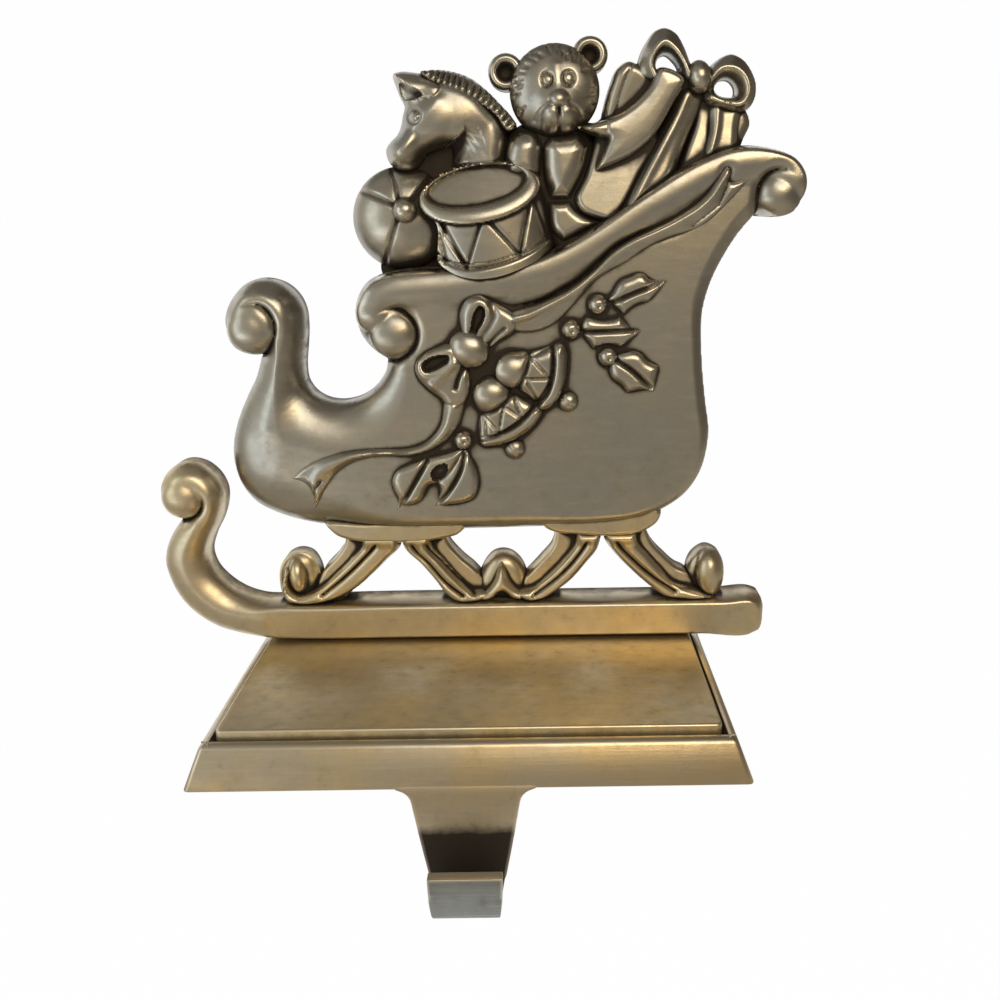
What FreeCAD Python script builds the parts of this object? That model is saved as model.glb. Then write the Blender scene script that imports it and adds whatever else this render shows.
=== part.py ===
import FreeCAD
import Part
import math
import os
from FreeCAD import Vector

# Stocking holder that stands on a mantel: a flared tray with a hook, a plate let into it, a cast sleigh on top.
# Millimetres. X to the right, Y to the back, Z up. The origin is the middle of the footprint, on the mantel.

# Tray
TRAY_LENGTH = 125.0        # at the foot, along X
TRAY_WIDTH = 76.0          # at the foot, along Y
TRAY_FLARE = 3.5           # how far each wall leans in from foot to top
TRAY_TOP = 10.0            # height of the rim
TRAY_CORNER = 1.2          # bevel of the upright edges
RIM_BEVEL = 1.0            # along the top of the rim
FOOT_GAP = 0.5             # the tray's foot hangs this far above the mantel
FLOOR_TOP = 6.0            # bed that the plate lies on

# Felt under the tray
FELT_THICKNESS = 1.6
FELT_INSET = 4.0           # from the tray's foot edge to the felt
FELT_CLEARANCE = 0.3       # felt to the wall of its pocket
FELT_CORNER = 3.0

# Plate let into the tray
PLATE_INSET = 6.3           # from the tray's foot edge to the plate
PLATE_THICKNESS = 6.0
PLATE_CORNER = 2.5
PLATE_BEVEL = 0.7
PLATE_GAP = 1.1            # groove between the plate and the rim

# Hook at the tray's front
HOOK_THICKNESS = 3.0
HOOK_CENTRE_X = -0.6
HOOK_ROOT_WIDTH = 31.0     # where it leaves the wall, with its fillets
HOOK_SHOULDER_WIDTH = 25.6
HOOK_SHOULDER_DROP = 2.6   # below the mantel plane
HOOK_FILLET = 3.2
HOOK_WAIST_WIDTH = 18.4    # level with the top of the lip
HOOK_SWEEP = 40.0          # radius of the tongue's waist
HOOK_TIP_WIDTH = 15.0
HOOK_DROP = 26.2           # lowest point below the mantel plane
HOOK_THROAT = 7.4          # clear space behind the lip
HOOK_BEND = 2.6            # inner radius of the bend
LIP_RISE = 11.2            # height of the lip above the hook's lowest point
LIP_CORNER = 1.3           # of the lip's lower corners, seen from the front
LIP_TOE = 2.2              # radius under the lip
LIP_EDGE = 0.8             # radius along the lip's top
WALL_OVERLAP = 0.2         # how far the hook's root stays behind the tray's wall face

# Screws that hold the sleigh
SCREW_SPACING = 60.0
SCREW_CENTRE_X = 2.0
SCREW_RADIUS = 2.0
SCREW_HEAD_RADIUS = 3.7
SCREW_HEAD_HEIGHT = 2.2
SCREW_CLEARANCE = 0.25     # around the shank and the head
SCREW_REACH = 6.5          # length of thread in the runner
SCREW_TIP_GAP = 0.5
DRIVE_SLOT_WIDTH = 1.0
DRIVE_SLOT_DEPTH = 1.0

# Sleigh casting. Depths are measured from its flat back towards the front.
FIGURE_HEIGHT = 150.6
DRAWN_HEIGHT = 150.6       # height that the figure's outlines and depths below are drawn for
FIGURE_SETBACK = 3.0       # from the plate's back edge to the flat back
RUNNER_DEPTH = 10.5
RUNNER_HEIGHT = 10.5
RUNNER_RIGHT = 75.5
RUNNER_ROUND = 1.3
HULL_DEPTH = 12.4
HULL_ROUND = 6.0
NECK_DEPTH = 11.4
NECK_ROUND = 4.2
RAIL_DEPTH = 13.6
RAIL_ROUND = 1.7
SCROLL_ROUND = 3.2
SCROLL_GROOVE = 0.9        # width of the groove around each scroll's boss
SCROLL_SIDES = 16          # flats around each scroll
BOSS_STAND = 2.2           # how far a scroll's boss stands out of it
STRUT_DEPTH = 7.4
STRUT_BEVEL = 0.5
STRUT_RIDGE = 2.0          # height of the ridges along the struts
PAD_DEPTH = 11.6
PAD_BEVEL = 0.7
RIBBON_LIFT = 1.6          # of a flat ribbon above what it lies on
RIBBON_ROUND = 0.7
BOW_LIFT = 2.8
BOW_ROUND = 1.5
LEAF_RIM = 0.5             # of a leaf's edge above the hull
LEAF_RIDGE = 2.3           # of a leaf's midrib above the hull
BERRY_RADIUS = 2.3
BELL_LIFT = 3.4
BELL_ROUND = 1.4
BELL_CROWN = 4.4           # half the width of a bell's crown
BELL_LIP_RADIUS = 1.3
BELL_CLAPPER_RADIUS = 2.6
TOY_BACKING = 5.0          # web that closes the gaps between the toys
TOY_DEPTH = 10.5
BALL_RADIUS = 12.2
BALL_BUTTON_RADIUS = 2.9
DRUM_MAJOR = 14.0
DRUM_MINOR = 4.7
DRUM_HOOP_STAND = 0.9
DRUM_HOOP_TOP = 3.2
DRUM_HOOP_FOOT = 2.4
DRUM_CORD_RADIUS = 0.7
DRUM_CORDS = 8
DRUM_SIDES = 16            # flats around the drum
HORSE_ROUND = 0.9
MANE_DEPTH = 8.6
MANE_REACH = 16.6          # from the centre of the mane's sweep to its crest
MANE_ROOT = 12.6           # from that centre to where the locks begin
MANE_START = 102.0         # direction of the first lock, in degrees from X
MANE_SWEEP = 88.0          # from the first lock to the last
MANE_LOCKS = 12
MANE_LOCK_WIDTH = 2.5
MANE_SIDES = 32            # flats around the mane's full sweep
BEAR_HEAD_RADIUS = 10.3
BEAR_EAR_RADIUS = 3.0
BEAR_EAR_TUBE = 1.5
GIFT_DEPTH = 9.6
GIFT_ROUND = 0.8
SINK = 1.5                 # how deep a relief reaches into what carries it
DOME_SWEEP = 72.0          # degrees of arc in each domed front, before its flat top

# Worked out from the sizes above
FELT_LENGTH = TRAY_LENGTH - 2 * FELT_INSET
FELT_WIDTH = TRAY_WIDTH - 2 * FELT_INSET
PLATE_LENGTH = TRAY_LENGTH - 2 * PLATE_INSET
PLATE_WIDTH = TRAY_WIDTH - 2 * PLATE_INSET
PLATE_TOP = FLOOR_TOP + PLATE_THICKNESS
FIGURE_SCALE = FIGURE_HEIGHT / DRAWN_HEIGHT
FIGURE_BACK = PLATE_WIDTH / 2 - FIGURE_SETBACK
SCREW_Y = FIGURE_BACK - FIGURE_SCALE * RUNNER_DEPTH / 2
RIBBON_DEPTH = HULL_DEPTH + RIBBON_LIFT
BOW_DEPTH = HULL_DEPTH + BOW_LIFT
BELL_DEPTH = HULL_DEPTH + BELL_LIFT
FOREVER = 400.0            # longer than anything here, for cutting blocks


def block(length, width, bottom, top, corner):
    """Upright block on the middle of the footprint, with rounded upright edges."""
    box = Part.makeBox(length, width, top - bottom, Vector(-length / 2, -width / 2, bottom))
    upright = [edge for edge in box.Edges if abs(edge.tangentAt(edge.FirstParameter).z) > 0.9]
    return box.makeFillet(corner, upright)


def corner_wire(corners, place):
    """Closed wire of straight runs. A corner is (u, v, radius), rounded by a tangent arc, or (u, v) if sharp."""
    bends = []
    count = len(corners)
    for index in range(count):
        corner = Vector(corners[index][0], corners[index][1], 0)
        if len(corners[index]) == 2:
            bends.append((corner, None, corner))
            continue
        radius = corners[index][2]
        before = (Vector(*corners[index - 1][:2], 0) - corner).normalize()
        after = (Vector(*corners[(index + 1) % count][:2], 0) - corner).normalize()
        half = before.getAngle(after) / 2
        reach = radius / math.tan(half)
        bisector = (before + after).normalize()
        middle = corner + bisector * (radius / math.sin(half) - radius)
        bends.append((corner + before * reach, middle, corner + after * reach))
    edges = []
    for index in range(count):
        start, middle, end = bends[index]
        if middle is not None:
            points = [place(point.x, point.y) for point in (start, middle, end)]
            edges.append(Part.Arc(*points).toShape())
        follow = bends[(index + 1) % count][0]
        if (follow - end).Length > 1e-4:
            edges.append(Part.LineSegment(place(end.x, end.y), place(follow.x, follow.y)).toShape())
    return Part.Wire(edges)


def relief(corners, depth, bevel, floor=0.0):
    """Slab with the given outline in X and Z, from the floor depth to the depth, front edge bevelled."""
    wire = corner_wire(corners, lambda x, z: Vector(x, -floor, z))
    slab = Part.Face(wire).extrude(Vector(0, floor - depth, 0))
    front = []
    for edge in slab.Edges:
        middle = edge.valueAt((edge.FirstParameter + edge.LastParameter) / 2)
        if abs(middle.y + depth) < 1e-5:
            front.append(edge)
    return slab.makeChamfer(bevel, front)


def turned(x, z, profile, sides):
    """Boss with a ring of flats about a line from back to front. profile is (radius, depth) from back to front."""
    rings = []
    for radius, depth in profile:
        ring = []
        for index in range(sides):
            angle = 2 * math.pi * (index + 0.5) / sides
            ring.append(Vector(x + radius * math.cos(angle), -depth, z + radius * math.sin(angle)))
        rings.append(ring)
    polygons = [rings[0], rings[-1]]
    for lower, upper in zip(rings, rings[1:]):
        for index in range(sides):
            after = (index + 1) % sides
            polygons.append([lower[index], lower[after], upper[after], upper[index]])
    return solid_of(polygons)


def dome(x, z, radius, depth, floor=0.0, rise=None, sides=8):
    """Boss with upright sides whose domed front reaches the depth. rise is the height of the domed part."""
    rise = radius if rise is None else rise
    profile = [(radius, floor)]
    for share in (0.0, 0.5, 1.0):
        angle = math.radians(share * DOME_SWEEP)
        profile.append((radius * math.cos(angle), depth - rise * (1 - math.sin(angle))))
    return turned(x, z, profile, sides)


def ridge(start, end, width, floor, depth):
    """Roof-shaped rib between two points of X and Z, sloping down at both ends."""
    first = Vector(start[0], 0, start[1])
    last = Vector(end[0], 0, end[1])
    along = (last - first).normalize()
    side = Vector(-along.z, 0, along.x) * (width / 2)
    low = [Vector(p.x, -floor, p.z) for p in (first + side, last + side, last - side, first - side)]
    slope = along * (width / 2)
    crest = [Vector(p.x, -depth, p.z) for p in (first + slope, last - slope)]
    return solid_of([low, [low[0], low[1], crest[1], crest[0]], [low[2], low[3], crest[0], crest[1]],
                     [low[1], low[2], crest[1]], [low[3], low[0], crest[0]]])


def solid_of(polygons):
    """Closed solid from flat faces, each given by its corner points."""
    faces = [Part.Face(Part.makePolygon(points + points[:1])) for points in polygons]
    solid = Part.Solid(Part.Shell(faces))
    if solid.Volume < 0:
        solid.reverse()
    return solid


def scroll(centre, radius, boss, boss_radius, depth):
    """Rolled end: a bevelled disc with a domed boss and a groove around the boss."""
    x, z = centre
    disc = turned(x, z, [(radius, 0), (radius, depth - SCROLL_ROUND),
                         (radius - SCROLL_ROUND * 0.3, depth - SCROLL_ROUND * 0.3), (radius - SCROLL_ROUND, depth)],
                  SCROLL_SIDES)
    groove = turned(boss[0], boss[1], [(boss_radius, depth - SCROLL_GROOVE * 1.5),
                                       (boss_radius + SCROLL_GROOVE, depth + 0.1)], SCROLL_SIDES)
    return disc.cut(groove).fuse(dome(boss[0], boss[1], boss_radius, depth + BOSS_STAND, sides=12))


def leaf(outline, stem, tip):
    """Holly leaf: a rim that follows the outline and two halves that rise to the midrib."""
    floor = HULL_DEPTH - SINK
    low = [Vector(x, -floor, z) for x, z in outline]
    rim = [Vector(x, -(HULL_DEPTH + LEAF_RIM), z) for x, z in outline]
    rib = [Vector(x, -(HULL_DEPTH + LEAF_RIDGE), z) for x, z in (stem, tip)]
    along = rib[1] - rib[0]
    nearest = [min(1, max(0, round((p - rib[0]).dot(along) / along.dot(along)))) for p in rim]
    polygons = [low]
    count = len(outline)
    for index in range(count):
        after = (index + 1) % count
        polygons.append([low[index], low[after], rim[after], rim[index]])
        polygons.append([rim[index], rim[after], rib[nearest[index]]])
        if nearest[index] != nearest[after]:
            polygons.append([rim[after], rib[nearest[after]], rib[nearest[index]]])
    return solid_of(polygons)


# Sleigh, in its own frame: X as the whole part, Z from the runner's underside, Y = 0 at the flat back.

def hull():
    belly = relief([(-59.5, 60.5, 7.5), (-63.2, 44, 13), (-52, 31.2, 26), (-36, 29.7, 40), (34, 29.7, 40),
                    (53, 34.0, 16), (60.0, 48, 18), (56.4, 76, 60), (58.4, 95, 30), (68, 113, 7), (52, 116, 9),
                    (22, 97, 30), (-18, 88, 8), (-24, 62.5, 20), (-50, 64, 8)], HULL_DEPTH, HULL_ROUND)
    neck = relief([(-59.5, 56), (-54.0, 72, 14), (-54, 86), (-42.2, 87), (-42.2, 64.2, 8.2),
                   (-23.0, 63.6, 8.2), (-22, 84), (-8, 84), (-8, 50), (-48, 50)], NECK_DEPTH, NECK_ROUND)
    prow = scroll((-51.6, 84.0), 10.2, (-54.4, 82.6), 5.9, NECK_DEPTH)
    seat = scroll((-19.4, 84.6), 9.2, (-18.9, 81.3), 5.4, HULL_DEPTH)
    return [belly, neck, prow, seat]


def rail():
    band = relief([(-25.5, 91.5), (-20, 95.0, 5), (6, 94.3, 30), (16, 97.6, 30), (52, 119.8, 30), (63, 124.8, 8),
                   (76, 122.5), (76, 116.5), (62, 117.5), (54, 108.5, 20), (32, 98.5, 30), (17, 87.5, 8),
                   (6, 90.5, 20), (-20, 89.8)], RAIL_DEPTH, RAIL_ROUND)
    tail = scroll((73.4, 115.2), 7.8, (74.2, 113.2), 4.7, HULL_DEPTH)
    garland = relief([(9, 87.5), (18, 87.8), (23, 90.8), (32, 98.2), (44, 104.5), (53.5, 108.2), (58, 113.5),
                      (61.5, 120.5), (61.7, 116.5), (66.3, 117.5), (63.2, 111.5), (54, 104.8), (46, 102.4),
                      (38, 99.2), (31.5, 93.2), (24, 84.5), (18, 81), (9, 82)],
                     RAIL_DEPTH + RIBBON_LIFT, RIBBON_ROUND, HULL_DEPTH - HULL_ROUND)
    return [band, tail, garland]


def runner():
    bar = relief([(RUNNER_RIGHT, 0), (-60, 0, 34), (-77.0, 4.8, 17), (-84.2, 21.5, 10), (-75.0, 37.5),
                  (-66.2, 38.5), (-73.4, 22.5, 9), (-68.5, RUNNER_HEIGHT, 12),
                  (RUNNER_RIGHT, RUNNER_HEIGHT)], RUNNER_DEPTH, RUNNER_ROUND)
    curl = scroll((-73.2, 41.2), 7.9, (-74.8, 40.9), 5.2, RUNNER_DEPTH)
    return [bar, curl]


def struts():
    """Two fluted pairs between the runner and the pads, with a peak between them and a boss at each end."""
    top = 30.5
    foot = RUNNER_HEIGHT - 1.0
    pairs = [((-33.0, -20.5), (-50.5, -38.0)), ((-20.0, -8.5), (-7.5, 2.0)),
             ((22.5, 32.0), (9.5, 21.5)), ((32.5, 43.5), (48.0, 60.0))]
    parts = []
    for (top_left, top_right), (foot_left, foot_right) in pairs:
        parts.append(relief([(top_left, top), (top_right, top), (foot_right, foot), (foot_left, foot)],
                            STRUT_DEPTH, STRUT_BEVEL))
        for share in (0.17, 0.5, 0.83):
            head = (top_left + share * (top_right - top_left), top - 1.5)
            heel = (foot_left + share * (foot_right - foot_left), foot + 0.5)
            width = 0.32 * min(top_right - top_left, foot_right - foot_left)
            parts.append(ridge(head, heel, width, STRUT_DEPTH - SINK, STRUT_DEPTH + STRUT_RIDGE))
    parts.append(relief([(-1.2, foot), (1.0, 17.5), (3.4, 21.6), (5.6, 22.8), (7.9, 21.6), (10.2, 17.5), (12.4, foot)],
                        RUNNER_DEPTH - 0.6, 1.4))
    for x, z, radius in ((-47.2, 19.6, 5.6), (59.8, 20.0, 5.0)):
        parts.append(dome(x, z, radius, RUNNER_DEPTH + 0.3, STRUT_DEPTH - 2 * SINK, radius * 0.8, 12))
        parts.append(relief([(x - 4, foot), (x - 4, z), (x + 4, z), (x + 4, foot)], STRUT_DEPTH, STRUT_BEVEL))
    parts.append(relief([(-39.4, 31.8), (-37.6, 29.0), (-34, 27.8), (-8, 27.4), (-4.2, 28.6), (-2.2, 31.4)],
                        PAD_DEPTH, PAD_BEVEL))
    parts.append(relief([(16, 31.6), (18, 29.0), (21.5, 28.0), (41, 28.2), (45, 30.2), (48, 33.8)],
                        PAD_DEPTH, PAD_BEVEL))
    return parts


def bell(crown, mouth, lip, clapper, floor):
    """Bell seen from the side, from crown to mouth, with rolled lip and clapper. lip is half the mouth's width."""
    axis = mouth - crown
    side = Vector(-axis.y, axis.x, 0).normalize()
    profile = [(-0.07, BELL_CROWN * 0.45), (0.08, BELL_CROWN * 0.9), (0.5, BELL_CROWN * 1.15), (1.0, lip)]
    corners = []
    for hand, stations in ((1, profile), (-1, profile[::-1])):
        for share, wide in stations:
            point = crown + axis * share + side * (hand * wide)
            corners.append((point.x, point.y))
    ends = [mouth + side * (hand * (lip - BELL_LIP_RADIUS)) for hand in (1, -1)]
    return [relief(corners, BELL_DEPTH, BELL_ROUND, floor),
            ridge((ends[0].x, ends[0].y), (ends[1].x, ends[1].y), 2 * BELL_LIP_RADIUS, floor,
                  BELL_DEPTH + BELL_LIP_RADIUS),
            dome(clapper[0], clapper[1], BELL_CLAPPER_RADIUS, BELL_DEPTH - 0.6, floor, BELL_CLAPPER_RADIUS * 0.8)]


def trimmings():
    """Bow, ribbon, bells and holly that lie on the hull."""
    floor = HULL_DEPTH - SINK
    parts = [relief([(-3, 77), (-2.6, 86.5), (-0.4, 90), (2.6, 91), (6.5, 88.4), (11.6, 85.6), (11.6, 82),
                     (9.6, 79.6), (4, 77)], BOW_DEPTH, BOW_ROUND, floor),
             relief([(-2, 79), (-6.5, 79), (-12, 77), (-14, 73), (-13, 69.6), (-6.4, 63), (-3.4, 61.8), (-0.4, 63.6),
                     (0.4, 70), (1.6, 76)], BOW_DEPTH, BOW_ROUND, floor),
             dome(-0.4, 77.3, 3.8, BOW_DEPTH + 1.2, floor, 2.6, 12),
             relief([(-7.4, 63.5), (-2.6, 63), (-4.2, 57.6), (-8, 53.4), (-13, 51.8), (-24, 51.2), (-31, 50),
                     (-36, 46.6), (-40.6, 38.0), (-41.6, 43.6), (-46.8, 45.2), (-41, 50), (-34.4, 52.9),
                     (-24, 53.7), (-15, 53.9), (-10.2, 57)], RIBBON_DEPTH, RIBBON_ROUND, floor)]
    parts += bell(Vector(7.6, 74.2, 0), Vector(19.8, 70.6, 0), 8.4, (23.9, 63.9), floor)
    parts += bell(Vector(4.9, 69.3, 0), Vector(9.6, 58.8, 0), 8.2, (10.5, 52.0), floor)
    for x, z in [(-2.3, 54.9), (24.2, 81.9), (31.3, 87.8), (33.6, 75.3)]:
        parts.append(dome(x, z, BERRY_RADIUS, HULL_DEPTH + BERRY_RADIUS, floor))
    leaves = [
        ([(33.4, 88.6), (36.5, 93.5), (42.0, 95.1), (44.2, 93.4), (48.6, 93.3), (45.4, 90.6), (44.9, 88.7),
          (40.2, 86.4), (37.5, 85.0)], (36, 88), (46, 92.4)),
        ([(26.6, 81.8), (29.3, 84.6), (32.9, 84.4), (37.0, 85.0), (38.5, 82.8), (42.6, 81.3), (39.5, 79.4),
          (37.8, 77.0), (34.2, 78.0), (30.5, 77.1)], (30, 81), (39.5, 81.2)),
        ([(35.0, 75.3), (39.0, 76.2), (42.0, 75.7), (44.0, 73.7), (46.6, 72.2), (45.2, 69.3), (45.5, 65.6),
          (41.6, 66.6), (38.6, 66.2), (35.4, 68.9), (34.4, 72)], (37.6, 73.6), (43.6, 68.2)),
        ([(-3.4, 52.4), (-10.8, 51), (-15.4, 48.6), (-19.6, 46.4), (-20.8, 43.6), (-20, 40), (-19.2, 36.6),
          (-15.1, 38), (-12.6, 41.6), (-8.6, 44.4), (-6.4, 48.8)], (-7.5, 49.2), (-16.8, 41.2)),
        ([(-2.2, 52.4), (0.5, 50.3), (1.2, 46), (1.6, 41.8), (-1.1, 38.6), (-5.6, 37.6), (-10.6, 37.4),
          (-8.4, 40.6), (-7.0, 44.2), (-5.2, 48.8)], (-2, 48.6), (-5.2, 40.4)),
    ]
    parts += [leaf(outline, stem, tip) for outline, stem, tip in leaves]
    return parts


def toys():
    """Ball, drum, horse and bear in the sleigh."""
    web = relief([(-16, 86), (-22, 104), (-16, 120), (-12, 136), (4, 133), (12, 136), (28, 141), (36, 132),
                  (60, 130), (64, 118), (40, 100)], TOY_BACKING, 1.0)
    parts = [web, dome(-16.0, 108.8, BALL_RADIUS, HULL_DEPTH + 0.2, 0.0, BALL_RADIUS * 0.7, 16),
             dome(-13.0, 110.4, BALL_BUTTON_RADIUS, HULL_DEPTH + 2.0, TOY_BACKING, BALL_BUTTON_RADIUS * 0.6)]
    parts += drum()
    parts += horse()
    parts += bear()
    return parts


def drum():
    """Drum tilted so that its head shows: an oval in the relief's plane, drawn out along the drum's axis."""
    lean = math.radians(11.0)
    head = Vector(3.2, -8.6, 114.8)
    foot = Vector(5.6, -7.6, 99.6)
    axis = foot - head
    across = Vector(math.cos(lean), 0, math.sin(lean))
    back = Vector(-math.sin(lean) * DRUM_MINOR, 4.4, math.cos(lean) * DRUM_MINOR)
    minor = back.Length

    def disc(centre, grow):
        rim = []
        for index in range(DRUM_SIDES):
            angle = 2 * math.pi * index / DRUM_SIDES
            rim.append(centre + across * ((DRUM_MAJOR + grow) * math.cos(angle))
                       + back * ((1 + grow / minor) * math.sin(angle)))
        return Part.Face(Part.makePolygon(rim + rim[:1]))

    step = axis * (1 / axis.Length)
    shell = disc(head, 0).extrude(axis)
    top_hoop = disc(head, DRUM_HOOP_STAND).extrude(step * DRUM_HOOP_TOP)
    low_hoop = disc(foot - step * DRUM_HOOP_FOOT, DRUM_HOOP_STAND).extrude(step * DRUM_HOOP_FOOT)
    skin = disc(head - step, -1.3).extrude(step * 1.9)
    front = Vector(0, -1, 0)
    cords = []
    for index in range(DRUM_CORDS):
        ends = []
        for corner in (index, index + 1):
            angle = math.radians(-145.0 + corner * 110.0 / DRUM_CORDS)
            level = (DRUM_HOOP_TOP - 0.3) if corner % 2 == 0 else axis.Length - DRUM_HOOP_FOOT + 0.3
            ends.append(head + step * level + across * (DRUM_MAJOR * math.cos(angle)) + back * math.sin(angle))
        wide = (ends[1] - ends[0]).cross(front).normalize() * DRUM_CORD_RADIUS
        section = [[end + wide, end + front * DRUM_CORD_RADIUS, end - wide, end - front] for end in ends]
        sides = [[section[0][i], section[0][i - 3], section[1][i - 3], section[1][i]] for i in range(4)]
        cords.append(solid_of(section + sides))
    return [shell.fuse([top_hoop, low_hoop]).cut(skin)] + cords


def horse():
    head = relief([(-16.6, 142.0), (-14.4, 135), (-15.4, 130.4), (-19.6, 124.2), (-19.0, 120.6), (-16.4, 118.9),
                   (-13.4, 119), (-9.8, 122.6), (-3.2, 125.6), (-2, 119), (10.8, 119), (10.2, 126), (8, 130),
                   (3.4, 134.6), (-3.6, 138.4), (-9, 140.6), (-12.4, 141.6)], TOY_DEPTH, HORSE_ROUND)
    cheek = dome(-6.2, 130.4, 6.2, TOY_DEPTH + 1.6, TOY_BACKING, 2.4, 10)
    muzzle = dome(-15.2, 123.2, 3.6, TOY_DEPTH + 1.0, TOY_BACKING, 1.6)
    eye = dome(-11.6, 131.8, 1.3, TOY_DEPTH + 1.0, TOY_BACKING, 0.8)
    centre = (-5.6, 124.4)
    mane = turned(centre[0], centre[1], [(MANE_REACH, 0), (MANE_REACH, MANE_DEPTH)], MANE_SIDES)
    quarter = Part.makeBox(FOREVER, FOREVER, FOREVER, Vector(centre[0] - 5, -FOREVER / 2, centre[1]))
    parts = [head, cheek, muzzle, eye, mane.common(quarter)]
    for index in range(MANE_LOCKS):
        angle = math.radians(MANE_START - index * MANE_SWEEP / (MANE_LOCKS - 1))
        ends = [(centre[0] + reach * math.cos(angle), centre[1] + reach * math.sin(angle))
                for reach in (MANE_ROOT, MANE_REACH + 0.3)]
        parts.append(ridge(ends[0], ends[1], MANE_LOCK_WIDTH, MANE_DEPTH - SINK, MANE_DEPTH + MANE_LOCK_WIDTH / 2))
    return parts


def bear():
    front = TOY_DEPTH + 2.0
    parts = [dome(21.2, 138.2, BEAR_HEAD_RADIUS, front, 0.0, BEAR_HEAD_RADIUS * 0.7, 16),
             dome(20.6, 118.5, 10.5, TOY_DEPTH, 0.0, 6.0, 12),
             dome(13.2, 123.4, 5.0, TOY_DEPTH + 1.4, 0.0, 3.5, 12),
             dome(23.6, 121.8, 5.4, TOY_DEPTH + 1.0, 0.0, 3.0, 12)]
    for x, z, radius, stand in [(19.9, 131.4, 2.7, 0.9), (24.0, 131.6, 2.7, 0.9), (21.8, 135.6, 1.6, 1.6),
                                (19.0, 139.4, 1.1, 0.4), (24.0, 139.7, 1.1, 0.4)]:
        parts.append(dome(x, z, radius, front + stand, TOY_BACKING, radius * 0.8))
    inner = BEAR_EAR_RADIUS - BEAR_EAR_TUBE
    outer = BEAR_EAR_RADIUS + BEAR_EAR_TUBE
    rim = TOY_BACKING + 2 * BEAR_EAR_TUBE
    for x, z in [(9.8, 141.7), (30.4, 145.6)]:
        parts.append(turned(x, z, [(outer, 0), (outer, rim - BEAR_EAR_TUBE * 0.7), (BEAR_EAR_RADIUS, rim),
                                   (inner, rim - BEAR_EAR_TUBE)], 12))
    return parts


def gifts():
    """Wrapped box with its straps, ribbon tail and looped bow."""
    floor = GIFT_DEPTH - SINK
    strap = GIFT_DEPTH + RIBBON_LIFT * 0.6
    box = relief([(37.4, 143.2), (66.8, 132.4), (62, 114), (34, 100), (24.6, 111.4)], GIFT_DEPTH, GIFT_ROUND)
    wide = relief([(50.2, 138), (57.0, 135.6), (49.0, 115), (34.6, 104)], strap, 0.5, floor)
    narrow = relief([(58.4, 135), (65.0, 132.6), (63.0, 119), (55, 118)], strap, 0.5, floor)
    tail = relief([(45.8, 140.6), (41, 135.4), (36.4, 131.6), (26.6, 128.0), (32.2, 125.8), (30.4, 118.4),
                   (38.6, 121.4), (44.6, 126.6), (50.0, 137.0)], strap + RIBBON_LIFT * 0.7, 0.6, floor)
    bow = TOY_DEPTH + 1.0
    loops = []
    for outer, inner in [
        ([(40.4, 140.6), (41.8, 146), (44, 149.6), (47, 150.6), (50.4, 148), (53.6, 143.2), (53.8, 137.6),
          (46, 138.8)], [(43.8, 142.2), (46.8, 147.4), (51.0, 141.4)]),
        ([(56.8, 141.0), (61.8, 144), (65.6, 142.6), (68.8, 138.6), (68.4, 134.4), (65, 132), (57, 135)],
         [(58.8, 138.2), (62.2, 140.2), (65.0, 136.6)])]:
        ring = relief(outer, bow, 1.1)
        hole = relief(inner, bow + 1, 0.2, TOY_BACKING)
        loops.append(ring.cut(hole))
    return [box, wide, narrow, tail] + loops + [dome(55.4, 139.8, 3.2, bow + 1.4, 0.0, 2.2, 10)]


def screw_places():
    return [Vector(SCREW_CENTRE_X + side * SCREW_SPACING / 2, SCREW_Y, 0) for side in (-1, 1)]


def sleigh_casting():
    pieces = hull() + rail() + runner() + struts() + trimmings() + toys() + gifts()
    figure = pieces[0].multiFuse(pieces[1:])
    behind = Part.makeBox(FOREVER, FOREVER, FOREVER, Vector(-FOREVER / 2, 0, -FOREVER / 4))
    figure = figure.cut(behind)
    figure.scale(FIGURE_SCALE, Vector(0, 0, 0))
    figure.translate(Vector(0, FIGURE_BACK, PLATE_TOP))
    for place in screw_places():
        depth = SCREW_REACH + SCREW_TIP_GAP
        figure = figure.cut(Part.makeCylinder(SCREW_RADIUS, depth, place + Vector(0, 0, PLATE_TOP)))
    return figure.removeSplitter()


def tray_body():
    """Flared tray: foot and top rectangles joined by leaning walls, softened edges, pockets above and below."""
    wires = []
    for lean, height in ((0.0, FOOT_GAP), (TRAY_FLARE, TRAY_TOP)):
        half_x = TRAY_LENGTH / 2 - lean
        half_y = TRAY_WIDTH / 2 - lean
        corners = [(-half_x, -half_y), (half_x, -half_y), (half_x, half_y), (-half_x, half_y)]
        wires.append(corner_wire(corners, lambda x, y, z=height: Vector(x, y, z)))
    body = Part.makeLoft(wires, True, True)
    body = body.makeChamfer(TRAY_CORNER, [edge for edge in body.Edges if edge.BoundBox.ZLength > TRAY_TOP / 2])
    rim = [edge for edge in body.Edges if edge.BoundBox.ZMin > TRAY_TOP - 1e-5]
    body = body.makeChamfer(RIM_BEVEL, rim)
    pocket = block(PLATE_LENGTH + 2 * PLATE_GAP, PLATE_WIDTH + 2 * PLATE_GAP, FLOOR_TOP, TRAY_TOP + 1, PLATE_CORNER)
    felt_bed = block(FELT_LENGTH + 2 * FELT_CLEARANCE, FELT_WIDTH + 2 * FELT_CLEARANCE, FOOT_GAP - 1,
                     FELT_THICKNESS, FELT_CORNER)
    return body.cut(pocket).cut(felt_bed)


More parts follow.
